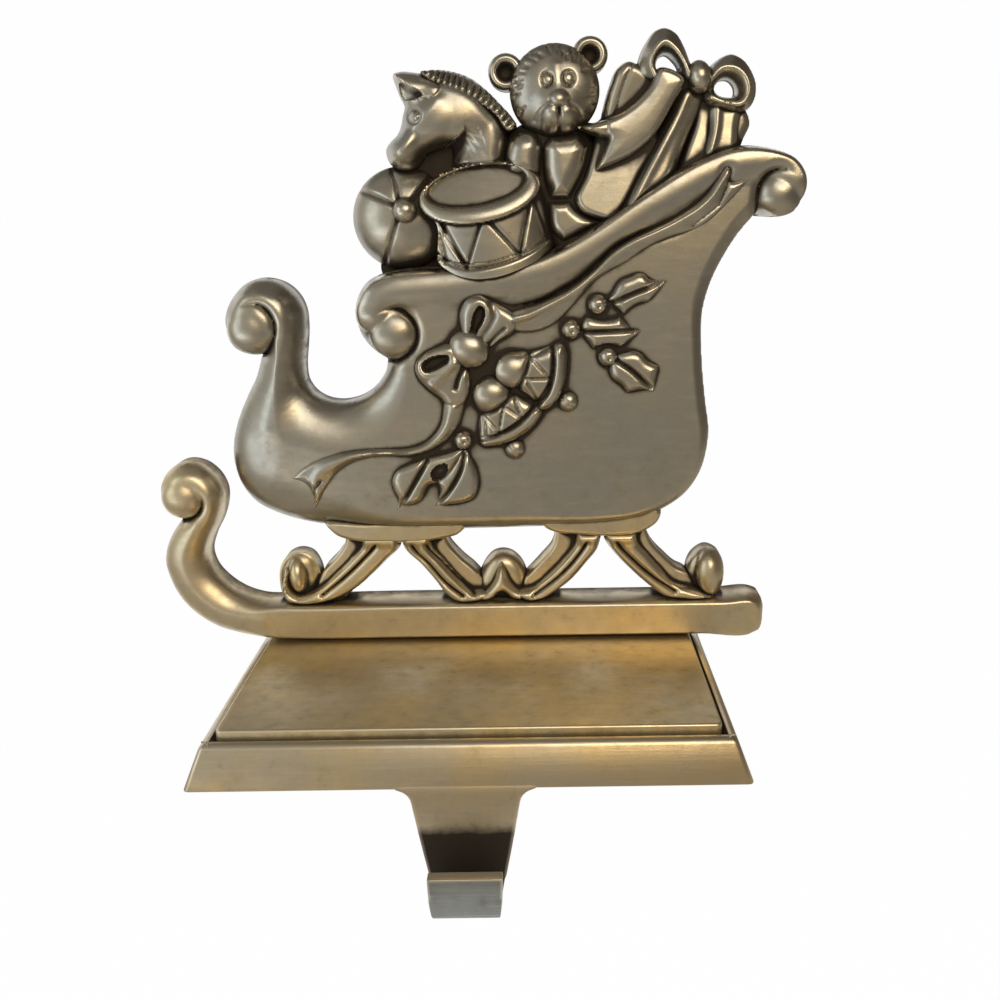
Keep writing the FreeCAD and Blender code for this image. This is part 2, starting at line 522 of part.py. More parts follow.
def hook():
    """J-shaped hook: its side profile, drawn across the full width, trimmed to the tongue's and the lip's fronts."""
    back = -(TRAY_WIDTH / 2 - HOOK_THICKNESS)
    wall = back - HOOK_THICKNESS
    lip_back = wall - HOOK_THROAT
    lip_front = lip_back - HOOK_THICKNESS
    low = -HOOK_DROP
    lip_top = low + LIP_RISE
    root = FOOT_GAP + FELT_THICKNESS
    lean = TRAY_FLARE * FELT_THICKNESS / (TRAY_TOP - FOOT_GAP) + WALL_OVERLAP
    side = corner_wire([(back, root), (back, low, HOOK_BEND + HOOK_THICKNESS), (lip_front, low, LIP_TOE),
                        (lip_front, lip_top, LIP_EDGE), (lip_back, lip_top, LIP_EDGE),
                        (lip_back, low + HOOK_THICKNESS, HOOK_BEND), (wall, low + HOOK_THICKNESS, HOOK_BEND),
                        (wall, FOOT_GAP), (wall + lean, root)],
                       lambda y, z: Vector(HOOK_CENTRE_X - HOOK_ROOT_WIDTH, y, z))
    strip = Part.Face(side).extrude(Vector(2 * HOOK_ROOT_WIDTH, 0, 0))
    half_root = HOOK_ROOT_WIDTH / 2
    half_shoulder = HOOK_SHOULDER_WIDTH / 2
    half_waist = HOOK_WAIST_WIDTH / 2
    half_tip = HOOK_TIP_WIDTH / 2
    right = [(half_tip, low - 1), (half_tip, low), (half_waist, lip_top, HOOK_SWEEP),
             (half_shoulder, -HOOK_SHOULDER_DROP, HOOK_FILLET), (half_root, FOOT_GAP), (half_root, root + 1)]
    left = [(-corner[0],) + corner[1:] for corner in reversed(right)]
    tongue = trimmed(strip, right + left, (wall + lip_back) / 2, FOREVER)
    lip = trimmed(strip, [(half_tip, low, LIP_CORNER), (half_tip, root), (-half_tip, root),
                          (-half_tip, low, LIP_CORNER)], -FOREVER, (wall + lip_back) / 2)
    return tongue.fuse(lip)


def trimmed(strip, outline, front, back):
    """What lies inside an outline in X and Z, between two planes of Y."""
    wire = corner_wire(outline, lambda x, z: Vector(HOOK_CENTRE_X + x, front, z))
    return strip.common(Part.Face(wire).extrude(Vector(0, back - front, 0)))


def base_casting():
    casting = tray_body().fuse(hook())
    for place in screw_places():
        shank = Part.makeCylinder(SCREW_RADIUS + SCREW_CLEARANCE, FLOOR_TOP, place)
        seat = Part.makeCylinder(SCREW_HEAD_RADIUS + SCREW_CLEARANCE, SCREW_HEAD_HEIGHT + FELT_THICKNESS, place)
        casting = casting.cut(shank).cut(seat)
    return casting.removeSplitter()


def weight_plate():
    plate = block(PLATE_LENGTH, PLATE_WIDTH, FLOOR_TOP, PLATE_TOP, PLATE_CORNER)
    top = [edge for edge in plate.Edges if edge.BoundBox.ZMin > PLATE_TOP - 1e-5]
    plate = plate.makeChamfer(PLATE_BEVEL, top)
    for place in screw_places():
        plate = plate.cut(Part.makeCylinder(SCREW_RADIUS + SCREW_CLEARANCE, PLATE_TOP + 1, place))
    return plate


def figure_screws():
    screws = []
    seat = FELT_THICKNESS + SCREW_HEAD_HEIGHT
    for place in screw_places():
        head = Part.makeCylinder(SCREW_HEAD_RADIUS, SCREW_HEAD_HEIGHT, place + Vector(0, 0, FELT_THICKNESS))
        shank = Part.makeCylinder(SCREW_RADIUS, PLATE_TOP + SCREW_REACH - seat, place + Vector(0, 0, seat))
        slot = Part.makeBox(2 * SCREW_HEAD_RADIUS, DRIVE_SLOT_WIDTH, DRIVE_SLOT_DEPTH,
                            place + Vector(-SCREW_HEAD_RADIUS, -DRIVE_SLOT_WIDTH / 2, FELT_THICKNESS))
        screws.append(head.fuse(shank).cut(slot).removeSplitter())
    return Part.makeCompound(screws)


def felt_pad():
    return block(FELT_LENGTH, FELT_WIDTH, 0.0, FELT_THICKNESS, FELT_CORNER)


def main():
    os.makedirs("parts", exist_ok=True)
    nodes = {
        "sleigh_casting": sleigh_casting(),
        "base_casting": base_casting(),
        "weight_plate": weight_plate(),
        "figure_screws": figure_screws(),
        "felt_pad": felt_pad(),
    }
    for name, shape in nodes.items():
        shape.exportStep("parts/" + name + ".step")
        print(name, "solids", len(shape.Solids), "valid", shape.isValid(), "mm3", round(shape.Volume))


main()
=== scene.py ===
"""Mantel stocking holder: a cast sleigh full of toys on a weighted tray with a hook, in antiqued brass.

The figure is a relief with a flat back. Its pieces are drawn in millimetres in the figure's own frame:
x as the whole object, z from the underside of the runner, and depth forward from the flat back.
"""
import math

import bmesh
import bpy
import numpy as np
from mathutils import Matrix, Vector


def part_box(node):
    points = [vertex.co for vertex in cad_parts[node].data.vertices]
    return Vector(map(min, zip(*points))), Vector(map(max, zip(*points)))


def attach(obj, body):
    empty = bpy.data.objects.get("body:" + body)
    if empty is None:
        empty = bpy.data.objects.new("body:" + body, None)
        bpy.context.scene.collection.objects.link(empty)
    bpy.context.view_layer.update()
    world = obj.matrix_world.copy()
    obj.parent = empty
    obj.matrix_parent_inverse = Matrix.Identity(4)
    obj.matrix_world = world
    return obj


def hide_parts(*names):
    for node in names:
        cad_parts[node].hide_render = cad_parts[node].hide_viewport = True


bl_info = {
    "name": "Sleigh stocking holder",
    "version": (1, 0, 0),
    "blender": (4, 5, 0),
    "location": "3D View > Sidebar > Stocking holder",
    "description": "Relief pieces, finishes and studio of a mantel stocking holder",
    "category": "Object",
}

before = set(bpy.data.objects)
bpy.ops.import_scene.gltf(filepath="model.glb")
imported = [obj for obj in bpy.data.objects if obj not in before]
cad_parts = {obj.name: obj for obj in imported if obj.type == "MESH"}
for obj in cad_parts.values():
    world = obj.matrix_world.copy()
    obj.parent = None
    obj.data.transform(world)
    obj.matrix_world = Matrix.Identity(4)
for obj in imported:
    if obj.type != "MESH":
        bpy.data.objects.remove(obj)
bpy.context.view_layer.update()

MM = 0.001
FLAT_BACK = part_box("sleigh_casting")[1][1] / MM
RUNNER_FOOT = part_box("sleigh_casting")[0][2] / MM
TRAY = [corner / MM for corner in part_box("base_casting")[0]], [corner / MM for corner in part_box("base_casting")[1]]
PLATE = [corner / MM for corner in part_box("weight_plate")[0]], [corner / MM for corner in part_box("weight_plate")[1]]
LINE_STEP = 0.9         # mm between the points of a smooth line
SIDE = 5.5              # depth at which the hull's sides begin to round over
BACK_STEP = 0.03        # how much deeper each relief has its flat back, so that no two backs share a plane
DEEP_FLOOR = 4.0        # reliefs that start deeper than this sit on another one
reliefs = []            # the pieces that share one map of patina and painted shade


def length(name, description, default):
    return bpy.props.FloatProperty(name=name, description=description, default=default, precision=5, unit="LENGTH")


class HolderSizes(bpy.types.PropertyGroup):
    fine_step: bpy.props.FloatProperty(name="Fine step", description="Between the points of a small relief",
                                       default=0.00028, min=0.0001, precision=5, unit="LENGTH")
    coarse_step: bpy.props.FloatProperty(name="Coarse step", description="Between the points of a large relief",
                                         default=0.00036, min=0.0001, precision=5, unit="LENGTH")
    tray_foot: length("Tray foot", "Height of the tray's foot above the mantel", 0.0005)
    tray_top: length("Tray top", "Height of the tray's rim", 0.010)
    tray_lean: length("Tray lean", "How far a wall leans in, from foot to rim", 0.0035)
    tray_bed: length("Tray bed", "Height of the bed that the plate lies on", 0.006)
    rim_round: length("Rim rounding", "Softness of the tray's upper edge", 0.0013)
    corner_round: length("Corner rounding", "Softness of the tray's upright edges", 0.0012)
    groove: length("Groove", "Gap between the plate and the tray's rim", 0.0011)
    plate_edge: length("Plate edge", "Softness of the plate's upper edge", 0.0006)
    hook_thickness: length("Hook thickness", "Thickness of the hook's metal", 0.003)
    hook_throat: length("Hook throat", "Clear space behind the hook's lip", 0.0068)
    lip_rise: length("Lip rise", "Height of the lip above the hook's lowest point", 0.0112)


def metal_colour(name, description, colour):
    return bpy.props.FloatVectorProperty(name=name, description=description, default=colour, size=4, subtype="COLOR",
                                         min=0.0, max=1.0)


class HolderFinishes(bpy.types.PropertyGroup):
    sleigh_metal: metal_colour("Sleigh", "Rubbed metal of the sleigh and toys", (0.41, 0.39, 0.35, 1))
    sleigh_warm: metal_colour("Sleigh, warm", "Warmer clouds in the sleigh's metal", (0.45, 0.41, 0.335, 1))
    # painted reflection: the runner's metal is lighter and warmer than the hull's, partly brass showing through and
    # partly a painted reflection of the bright floor its low faces catch
    runner_metal_with_painted_reflection: metal_colour("Runner", "Brushed metal of the runner and struts", (0.60, 0.52, 0.385, 1))
    runner_warm_with_painted_reflection: metal_colour("Runner, warm", "Warmer clouds in the runner's metal", (0.66, 0.545, 0.34, 1))
    tray_metal: metal_colour("Tray", "Brushed metal of the tray and hook", (0.50, 0.43, 0.32, 1))
    tray_warm: metal_colour("Tray, warm", "Warmer clouds in the tray's metal", (0.56, 0.44, 0.26, 1))
    plate_metal: metal_colour("Plate", "Brushed metal of the weight plate", (0.62, 0.53, 0.37, 1))
    plate_warm: metal_colour("Plate, warm", "Warmer clouds in the plate's metal", (0.68, 0.54, 0.29, 1))
    # painted shade: this dark colour is the patina in the hollows and also the painted shade laid in them
    patina_and_shade: metal_colour("Patina_and_shade", "Dark patina left in the hollows", (0.035, 0.026, 0.018, 1))
    rubbed: metal_colour("Rubbed edge", "Bright metal where edges are worn", (0.80, 0.72, 0.58, 1))
    steel: metal_colour("Screws", "Steel of the screws", (0.46, 0.46, 0.45, 1))
    felt: metal_colour("Felt", "Felt under the tray", (0.035, 0.032, 0.030, 1))


class HolderStudio(bpy.types.PropertyGroup):
    window_power: bpy.props.FloatProperty(name="Window", description="Power of the cool window on the left",
                                          default=0.45, min=0.0, unit="POWER")
    panel_power: bpy.props.FloatProperty(name="Panel", description="Power of the pale panel above",
                                         default=1.25, min=0.0, unit="POWER")
    window_colour: bpy.props.FloatVectorProperty(name="Window colour", description="Colour of the window's light",
                                                 default=(0.84, 0.95, 1.0), size=3, subtype="COLOR", min=0.0, max=1.0)
    panel_colour: bpy.props.FloatVectorProperty(name="Panel colour", description="Colour of the panel's light",
                                                default=(1.0, 0.92, 0.78), size=3, subtype="COLOR", min=0.0, max=1.0)
    lamp_power: bpy.props.FloatProperty(name="Lamp", description="Power of the golden lamp on the right",
                                        default=0.30, min=0.0, unit="POWER")
    lamp_colour: bpy.props.FloatVectorProperty(name="Lamp colour", description="Colour of the golden lamp's light",
                                               default=(1.0, 0.72, 0.34), size=3, subtype="COLOR", min=0.0, max=1.0)
    paper: bpy.props.FloatProperty(name="Paper", description="Share of plain white in the paper that the camera sees",
                                   default=0.99, min=0.0, max=1.0, subtype="FACTOR")
    lens: bpy.props.FloatProperty(name="Lens", description="Focal length in millimetres", default=38.9, min=10.0)


# Lines and distances in the figure's plane

def smooth_run(run):
    """Points along the smooth line through a run of points, without its last point."""
    points = [np.array(point[:2], dtype=float) for point in run]
    points = [2 * points[0] - points[1]] + points + [2 * points[-1] - points[-2]]
    line = []
    for before, start, end, after in zip(points, points[1:], points[2:], points[3:]):
        reach = np.linalg.norm(end - start)
        lead = max(np.linalg.norm(start - before), 1e-6)
        trail = max(np.linalg.norm(after - end), 1e-6)
        leave = ((start - before) / lead * reach + (end - start) / reach * lead) / (lead + reach) * reach
        arrive = ((end - start) / reach * trail + (after - end) / trail * reach) / (reach + trail) * reach
        count = max(1, int(math.ceil(reach / LINE_STEP)))
        for share in np.arange(count) / count:
            line.append((2 * share ** 3 - 3 * share ** 2 + 1) * start + (share ** 3 - 2 * share ** 2 + share) * leave
                        + (3 * share ** 2 - 2 * share ** 3) * end + (share ** 3 - share ** 2) * arrive)
    return line


def smooth_line(points, closed=False):
    """Smooth line through points of x and z. A point with a third value is a sharp corner."""
    points = list(points)
    if closed:
        corners = [index for index, point in enumerate(points) if len(point) > 2]
        if corners:
            points = points[corners[0]:] + points[:corners[0]] + [points[corners[0]]]
        else:
            wrapped = np.array(smooth_run(points[-3:] + points + points[:3]))
            half = len(wrapped) // 2
            far = np.hypot(*(wrapped - points[0][:2]).T)
            return wrapped[int(np.argmin(far[:half])):half + int(np.argmin(far[half:]))]
    line = []
    run = [points[0]]
    for point in points[1:]:
        run.append(point)
        if len(point) > 2:
            line += smooth_run(run)
            run = [point]
    if len(run) > 1:
        line += smooth_run(run)
    if not closed:
        line.append(np.array(points[-1][:2], dtype=float))
    return np.array(line)


def ellipse(x, z, wide, tall, tilt=0.0, count=28):
    """Closed outline of an ellipse. tilt is in degrees."""
    turn = math.radians(tilt)
    outline = []
    for angle in np.arange(count) * 2 * math.pi / count:
        u, v = wide * math.cos(angle), tall * math.sin(angle)
        outline.append((x + u * math.cos(turn) - v * math.sin(turn), z + u * math.sin(turn) + v * math.cos(turn)))
    return outline


class Ground:
    """Points of a relief, with their distances from lines and outlines."""

    def __init__(self, x, z):
        self.x = np.asarray(x, dtype=np.float32)
        self.z = np.asarray(z, dtype=np.float32)

    def nearest(self, line, closed):
        """Square of the distance to a line, the nearest point on it and the share of its length there."""
        ends = np.roll(line, -1, axis=0) if closed else line[1:]
        starts = line if closed else line[:-1]
        lengths = np.hypot(*(ends - starts).T)
        placed = np.concatenate(([0.0], np.cumsum(lengths)))
        best = np.full(self.x.shape, 1e9, dtype=np.float32)
        near_x, near_z, share = np.zeros_like(best), np.zeros_like(best), np.zeros_like(best)
        for index, (start, end) in enumerate(zip(starts, ends)):
            if lengths[index] < 1e-6:
                continue
            run_x, run_z = (end - start) / lengths[index] ** 2
            t = np.clip((self.x - start[0]) * run_x + (self.z - start[1]) * run_z, 0, 1)
            x = start[0] + t * (end[0] - start[0])
            z = start[1] + t * (end[1] - start[1])
            far = (self.x - x) ** 2 + (self.z - z) ** 2
            closer = far < best
            best[closer] = far[closer]
            near_x[closer] = x[closer]
            near_z[closer] = z[closer]
            share[closer] = (placed[index] + t[closer] * lengths[index]) / placed[-1]
        return np.sqrt(best), near_x, near_z, share

    def holds(self, line):
        """True at the points inside a closed line."""
        inside = np.zeros(self.x.shape, dtype=bool)
        for start, end in zip(line, np.roll(line, -1, axis=0)):
            if start[1] == end[1]:
                continue
            between = (start[1] > self.z) != (end[1] > self.z)
            cross = (end[0] - start[0]) * (self.z - start[1]) / (end[1] - start[1]) + start[0]
            inside ^= between & (self.x < cross)
        return inside

    def edge(self, outline):
        """Distance from an outline, above zero inside it."""
        line = smooth_line(outline, True)
        far = self.nearest(line, True)[0]
        return np.where(self.holds(line), far, -far)

    def line(self, points, share=False):
        """Distance from a smooth open line, and if asked the share of its length."""
        far, _, _, along = self.nearest(smooth_line(points), False)
        return (far, along) if share else far

    def zigzag(self, points):
        """Distance from straight runs."""
        return self.nearest(np.array(points, dtype=float), False)[0]

    def ball(self, x, z, wide, tall=None, tilt=0.0):
        """Height of a unit ball over an ellipse, zero outside it."""
        turn = math.radians(tilt)
        u = (self.x - x) * math.cos(turn) + (self.z - z) * math.sin(turn)
        v = (self.z - z) * math.cos(turn) - (self.x - x) * math.sin(turn)
        return np.sqrt(np.clip(1 - (u / wide) ** 2 - (v / (tall or wide)) ** 2, 0, 1))


def crown(distance, radius):
    """Quarter round that rises from 0 at an edge to 1 at the radius."""
    share = np.clip(distance / radius, 0, 1)
    return np.sqrt(1 - (1 - share) ** 2)


def notch(distance, width):
    """1 on a line, falling to 0 with round shoulders at the width."""
    return 1 - crown(distance, width)


def soft(distance, width):
    return np.exp(-(distance / width) ** 2)


def step(value, low, high):
    share = np.clip((value - low) / (high - low), 0, 1)
    return share * share * (3 - 2 * share)


def mix(first, second, share):
    return first + (second - first) * share


def higher(first, second, blend=0.3):
    """The higher of two depths, with a soft joint."""
    return (first + second + np.sqrt((first - second) ** 2 + blend ** 2)) / 2


# The mesh of a relief

def outline_sides(ground, outlines, holes):
    """Distance inside the joined outlines, and the nearest point of their edge."""
    best = None
    for outline, hole in [(o, False) for o in outlines] + [(h, True) for h in holes]:
        line = smooth_line(outline, True)
        far, x, z, _ = ground.nearest(line, True)
        signed = np.where(ground.holds(line) != hole, far, -far)
        if best is None:
            best = [signed, x, z]
            continue
        take = signed < best[0] if hole else signed > best[0]
        best = [np.where(take, new, old) for new, old in zip((signed, x, z), best)]
    return best


def add_relief(name, outlines, depth, floor=0.0, coarse=False, holes=()):
    """Closed relief: a grid cut to the outlines, raised to the depth, with walls down to a flat floor."""
    sizes = bpy.context.scene.holder_sizes
    cell = (sizes.coarse_step if coarse else sizes.fine_step) / MM
    lines = [smooth_line(outline, True) for outline in outlines]
    low = np.min([line.min(axis=0) for line in lines], axis=0) - cell
    high = np.max([line.max(axis=0) for line in lines], axis=0) + cell
    count = np.ceil((high - low) / cell).astype(int)
    bpy.ops.object.select_all(action="DESELECT")
    bpy.ops.mesh.primitive_grid_add(x_subdivisions=int(count[0]), y_subdivisions=int(count[1]), size=1)
    piece = bpy.context.object
    piece.name = name
    mesh = piece.data
    mesh.name = name
    flat = np.empty(len(mesh.vertices) * 3, dtype=np.float32)
    mesh.vertices.foreach_get("co", flat)
    flat = flat.reshape(-1, 3)
    x = low[0] + (flat[:, 0] + 0.5) * count[0] * cell
    z = low[1] + (flat[:, 1] + 0.5) * count[1] * cell
    ground = Ground(x, z)
    inside, near_x, near_z = outline_sides(ground, outlines, holes)
    corners = np.empty(len(mesh.loops), dtype=np.int32)
    mesh.loops.foreach_get("vertex_index", corners)
    corners = corners.reshape(-1, 4)
    outside = inside[corners].mean(axis=1) < 0
    kept = corners[~outside]
    uses = np.zeros(len(x), dtype=np.int32)
    np.add.at(uses, kept.ravel(), 1)
    rim = (uses > 0) & (uses < 4)
    x = np.where(rim, near_x, x)
    z = np.where(rim, near_z, z)
    drop = np.zeros(len(x), dtype=np.float32)
    used = uses > 0
    drop[used] = depth(Ground(x[used], z[used]))
    placed = np.stack((x, FLAT_BACK - drop, z + RUNNER_FOOT), axis=1) * MM
    mesh.vertices.foreach_set("co", placed.astype(np.float32).ravel())
    mesh.polygons.foreach_set("select", outside)
    bpy.ops.object.mode_set(mode="EDIT")
    bpy.ops.mesh.select_mode(type="FACE")
    bpy.ops.object.mode_set(mode="OBJECT")
    mesh.polygons.foreach_set("select", outside)
    bpy.ops.object.mode_set(mode="EDIT")
    bpy.ops.mesh.delete(type="FACE")
    bpy.ops.mesh.select_mode(type="EDGE")
    bpy.ops.mesh.select_all(action="DESELECT")
    bpy.ops.mesh.select_non_manifold()
    bpy.ops.mesh.extrude_region_move()
    bpy.ops.object.mode_set(mode="OBJECT")
    chosen = np.empty(len(mesh.vertices), dtype=bool)
    mesh.vertices.foreach_get("select", chosen)
    flat = np.empty(len(mesh.vertices) * 3, dtype=np.float32)
    mesh.vertices.foreach_get("co", flat)
    flat = flat.reshape(-1, 3)
    back = floor + (BACK_STEP * len(reliefs) if floor < DEEP_FLOOR else 0)
    flat[chosen, 1] = (FLAT_BACK - back) * MM
    mesh.vertices.foreach_set("co", flat.ravel())
    bpy.ops.object.mode_set(mode="EDIT")
    bpy.ops.mesh.fill(use_beauty=False)
    bpy.ops.mesh.select_all(action="SELECT")
    bpy.ops.mesh.normals_make_consistent(inside=False)
    bpy.ops.mesh.select_all(action="DESELECT")
    bpy.ops.object.mode_set(mode="OBJECT")
    bpy.ops.object.shade_smooth_by_angle(angle=math.radians(52))
    mesh.update()
    dress(piece, "sleigh_casting")
    reliefs.append(piece)
    return piece


def dress(piece, node):
    """Tie a finished piece to the body and hide the CAD node that it stands for."""
    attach(piece, "root")
    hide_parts(node)


# Hull, rail and scrolls

HULL = [(-52.6, 94.4), (-56.0, 93.1), (-58.6, 90.7), (-60.8, 87.1), (-61.5, 84.1), (-60.8, 80.9), (-58.9, 78.6),
        (-56.1, 77.0), (-52.9, 76.2, 1), (-54.6, 70.8), (-57.6, 65.2), (-60.4, 59.3), (-62.2, 52.8), (-62.2, 47.0),
        (-60.6, 41.7), (-57.3, 37.3), (-52.6, 34.5), (-46.2, 32.3), (-35.8, 30.7), (-20.1, 30.0), (-4.4, 29.9),
        (13.9, 30.2), (32.3, 30.8), (42.7, 32.4), (48.9, 35.0), (54.0, 38.7), (57.9, 44.5), (59.5, 50.3),
        (59.9, 55.5), (58.9, 62.8), (57.6, 75.5), (57.5, 84.9), (59.1, 91.5), (62.6, 98.9), (66.4, 104.6),
        (69.4, 107.9, 1), (74.0, 107.6), (77.8, 108.7), (80.4, 111.2), (81.4, 114.7), (80.8, 118.0), (78.4, 121.2),
        (74.2, 123.1), (69.2, 124.1), (64.0, 124.1), (55.2, 121.3), (43.6, 114.7), (31.8, 107.0), (25.8, 103.4),
        (18.6, 100.0), (12.6, 98.0), (5.3, 96.9), (-6.7, 97.0), (-16.4, 96.4), (-21.3, 95.4), (-24.9, 93.7),
        (-27.3, 90.8), (-28.3, 87.7), (-28.4, 84.4), (-27.8, 81.4), (-26.2, 78.6), (-24.0, 76.3), (-21.3, 74.4, 1),
        (-21.5, 72.0), (-22.6, 69.9), (-24.6, 67.4), (-27.5, 65.1), (-31.0, 63.8), (-34.1, 63.5), (-37.4, 64.1),
        (-40.4, 66.0), (-42.2, 68.9), (-42.5, 72.3), (-41.9, 77.4), (-41.4, 82.5), (-41.6, 86.7), (-42.9, 90.0),
        (-45.2, 92.5), (-48.6, 94.1)]
PROW_GROOVE = [(-56.6, 87.9), (-53.9, 88.8), (-50.9, 88.3), (-48.9, 86.4), (-47.9, 83.5), (-48.4, 80.1), (-50.0, 77.6),
               (-52.4, 76.0)]
NECK_CREST = [(-58.2, 85.2), (-55.8, 90.0), (-50.9, 91.4), (-46.6, 89.4), (-45.0, 85.0), (-45.2, 78.9), (-47.0, 72.8),
              (-50.0, 65.4), (-51.6, 58.0)]
SEAT_GROOVE = [(-23.4, 84.9), (-21.8, 86.6), (-19.3, 87.3), (-16.7, 86.9), (-14.7, 85.2), (-13.3, 82.5), (-13.3, 79.4),
               (-14.9, 76.6), (-17.6, 74.6), (-21.0, 73.9)]
RAIL_CREST = [(-23.4, 86.6), (-21.8, 89.3), (-18.8, 90.8), (-14.0, 91.5), (-6.8, 92.0), (2.9, 93.0), (12.5, 94.6),
              (22.1, 97.7), (31.7, 102.9), (41.1, 109.2), (50.4, 114.5), (59.7, 118.9), (68.0, 120.6), (74.9, 119.9),
              (78.2, 116.4)]
RAIL_UNDER = [(5.1, 89.3), (9.9, 87.6), (14.0, 87.9), (17.2, 88.4), (22.1, 90.8), (26.9, 93.6), (31.8, 97.8),
              (36.5, 101.7), (41.3, 103.5), (46.0, 104.5), (50.8, 106.3), (55.5, 109.0), (58.9, 111.7), (60.5, 115.1),
              (61.5, 118.2)]
RIGHT_GROOVE = [(78.0, 117.0), (76.2, 118.2), (73.9, 118.6), (71.5, 117.5), (69.8, 115.2), (69.2, 112.5),
                (69.3, 109.3), (69.4, 107.9)]


def hull_depth(p):
    edge = p.edge(HULL)
    left = 1 - step(p.x, -52, -18)
    low_round = mix(mix(5.0, 3.4, step(p.x, 0, 44)), 15.0, left)
    near_top = step(p.z, 80, 89) * step(p.x, -30, -22)
    near_neck = step(p.z, 58, 74) * (1 - step(p.x, -47, -34))
    radius = mix(mix(low_round, 4.0, near_top), 9.0, near_neck)
    radius = mix(radius, 13.0, soft(np.hypot((p.x + 31) / 15, (p.z - 58) / 13), 1.0))
    side = SIDE - 2.0 * left
    front = 12.2 + 0.5 * soft(np.hypot(p.x + 36, p.z - 50), 16)
    depth = side + (front - side) * crown(edge, radius)
    rail = p.line(RAIL_CREST)
    roll = 9.4 + 4.0 * np.sqrt(np.clip(1 - (rail / 5.4) ** 2, 0, 1))
    depth = np.where(rail < 5.4, higher(depth, side + (roll - side) * crown(edge, 1.6), 0.6), depth)
    depth += 0.6 * soft(p.line(NECK_CREST), 3.0) * step(edge, 0, 3)
    under, along = p.line(RAIL_UNDER, share=True)
    depth -= 2.2 * notch(under, 3.0) * step(along, 0.0, 0.2)
    for groove, deep in ((PROW_GROOVE, 2.2), (SEAT_GROOVE, 2.3), (RIGHT_GROOVE, 2.4)):
        far, along = p.line(groove, share=True)
        depth -= deep * notch(far, 2.7) * step(along, 0.0, 0.4)
    for x, z, radius, floor, rise in ((-53.9, 82.3, 6.3, 8.2, 4.6), (-18.9, 80.9, 5.9, 10.3, 3.4),
                                      (74.6, 112.9, 5.4, 9.6, 4.0)):
        boss = p.ball(x, z, radius)
        depth = np.where(boss > 0, higher(depth, floor + rise * boss), depth)
    return depth


# Runner, curl, struts and pads

RUNNER = [(73.6, 10.5), (74.9, 9.9), (75.6, 8.4), (75.7, 5.2), (75.5, 2.2), (74.8, 0.7), (73.2, 0.0), (58.8, 0.0),
          (32.2, 0.0), (5.5, 0.0), (-21.2, 0.0), (-47.8, 0.1), (-57.9, 0.6), (-63.7, 1.5), (-70.2, 3.6),
          (-75.2, 7.1), (-79.2, 11.9), (-81.5, 17.5), (-82.2, 21.7), (-81.5, 25.8), (-79.5, 29.8), (-76.9, 33.2, 1),
          (-79.0, 34.6), (-80.9, 37.0), (-81.6, 40.4), (-80.9, 43.8), (-78.6, 46.6), (-74.9, 48.4), (-70.6, 47.6),
          (-67.2, 44.6), (-65.5, 40.4), (-65.8, 36.6), (-67.2, 32.5), (-69.7, 27.8), (-71.0, 23.3), (-70.0, 19.3),
          (-67.1, 15.6), (-62.4, 12.3), (-58.3, 10.9), (-50.4, 10.5), (-21.8, 10.5), (32.7, 10.5), (64.5, 10.5)]
CURL_GROOVE = [(-72.8, 40.6), (-71.3, 39.9), (-70.6, 38.1), (-71.2, 35.9), (-73.2, 34.2), (-76.0, 33.2)]
RUNNER_CREST = [(-76.2, 44.8), (-71.6, 45.2), (-68.8, 42.4), (-68.6, 38.0), (-70.8, 33.4), (-74.4, 28.4),
                (-76.3, 23.5), (-75.5, 18.0), (-71.6, 12.4), (-65.3, 8.4), (-57.1, 6.6)]
STRUT_BACKS = {
    "outer_left": [(-35.0, 30.0, 1), (-34.7, 26.6), (-37.1, 22.7), (-40.9, 18.6), (-42.6, 15.6), (-43.6, 12.0),
                   (-44.6, 9.6, 1), (-36.4, 9.6, 1), (-32.4, 13.9), (-28.3, 17.6), (-23.7, 22.1), (-20.4, 25.3),
                   (-19.8, 30.0, 1)],
    "inner_left": [(-20.2, 30.0, 1), (-19.4, 25.1), (-15.1, 20.5), (-11.2, 15.5), (-8.7, 11.8), (-7.2, 9.6, 1),
                   (2.2, 9.6, 1), (1.2, 15.8), (-0.4, 18.0), (-4.4, 21.8), (-7.6, 26.0), (-8.4, 30.0, 1)],
    "inner_right": [(20.8, 30.0, 1), (19.8, 24.5), (16.8, 20.8), (13.9, 17.6), (12.2, 15.8), (11.2, 9.6, 1),
                    (19.0, 9.6, 1), (22.0, 13.0), (24.9, 15.8), (28.9, 20.5), (31.7, 24.2), (33.2, 30.0, 1)],
    "outer_right": [(32.7, 30.0, 1), (35.7, 22.9), (39.7, 18.7), (44.3, 14.3), (47.8, 11.6), (50.0, 9.6, 1),
                    (58.0, 9.6, 1), (57.0, 14.3), (55.0, 17.0), (52.6, 18.2), (49.6, 20.9), (45.9, 25.1),
                    (43.9, 30.0, 1)],
}
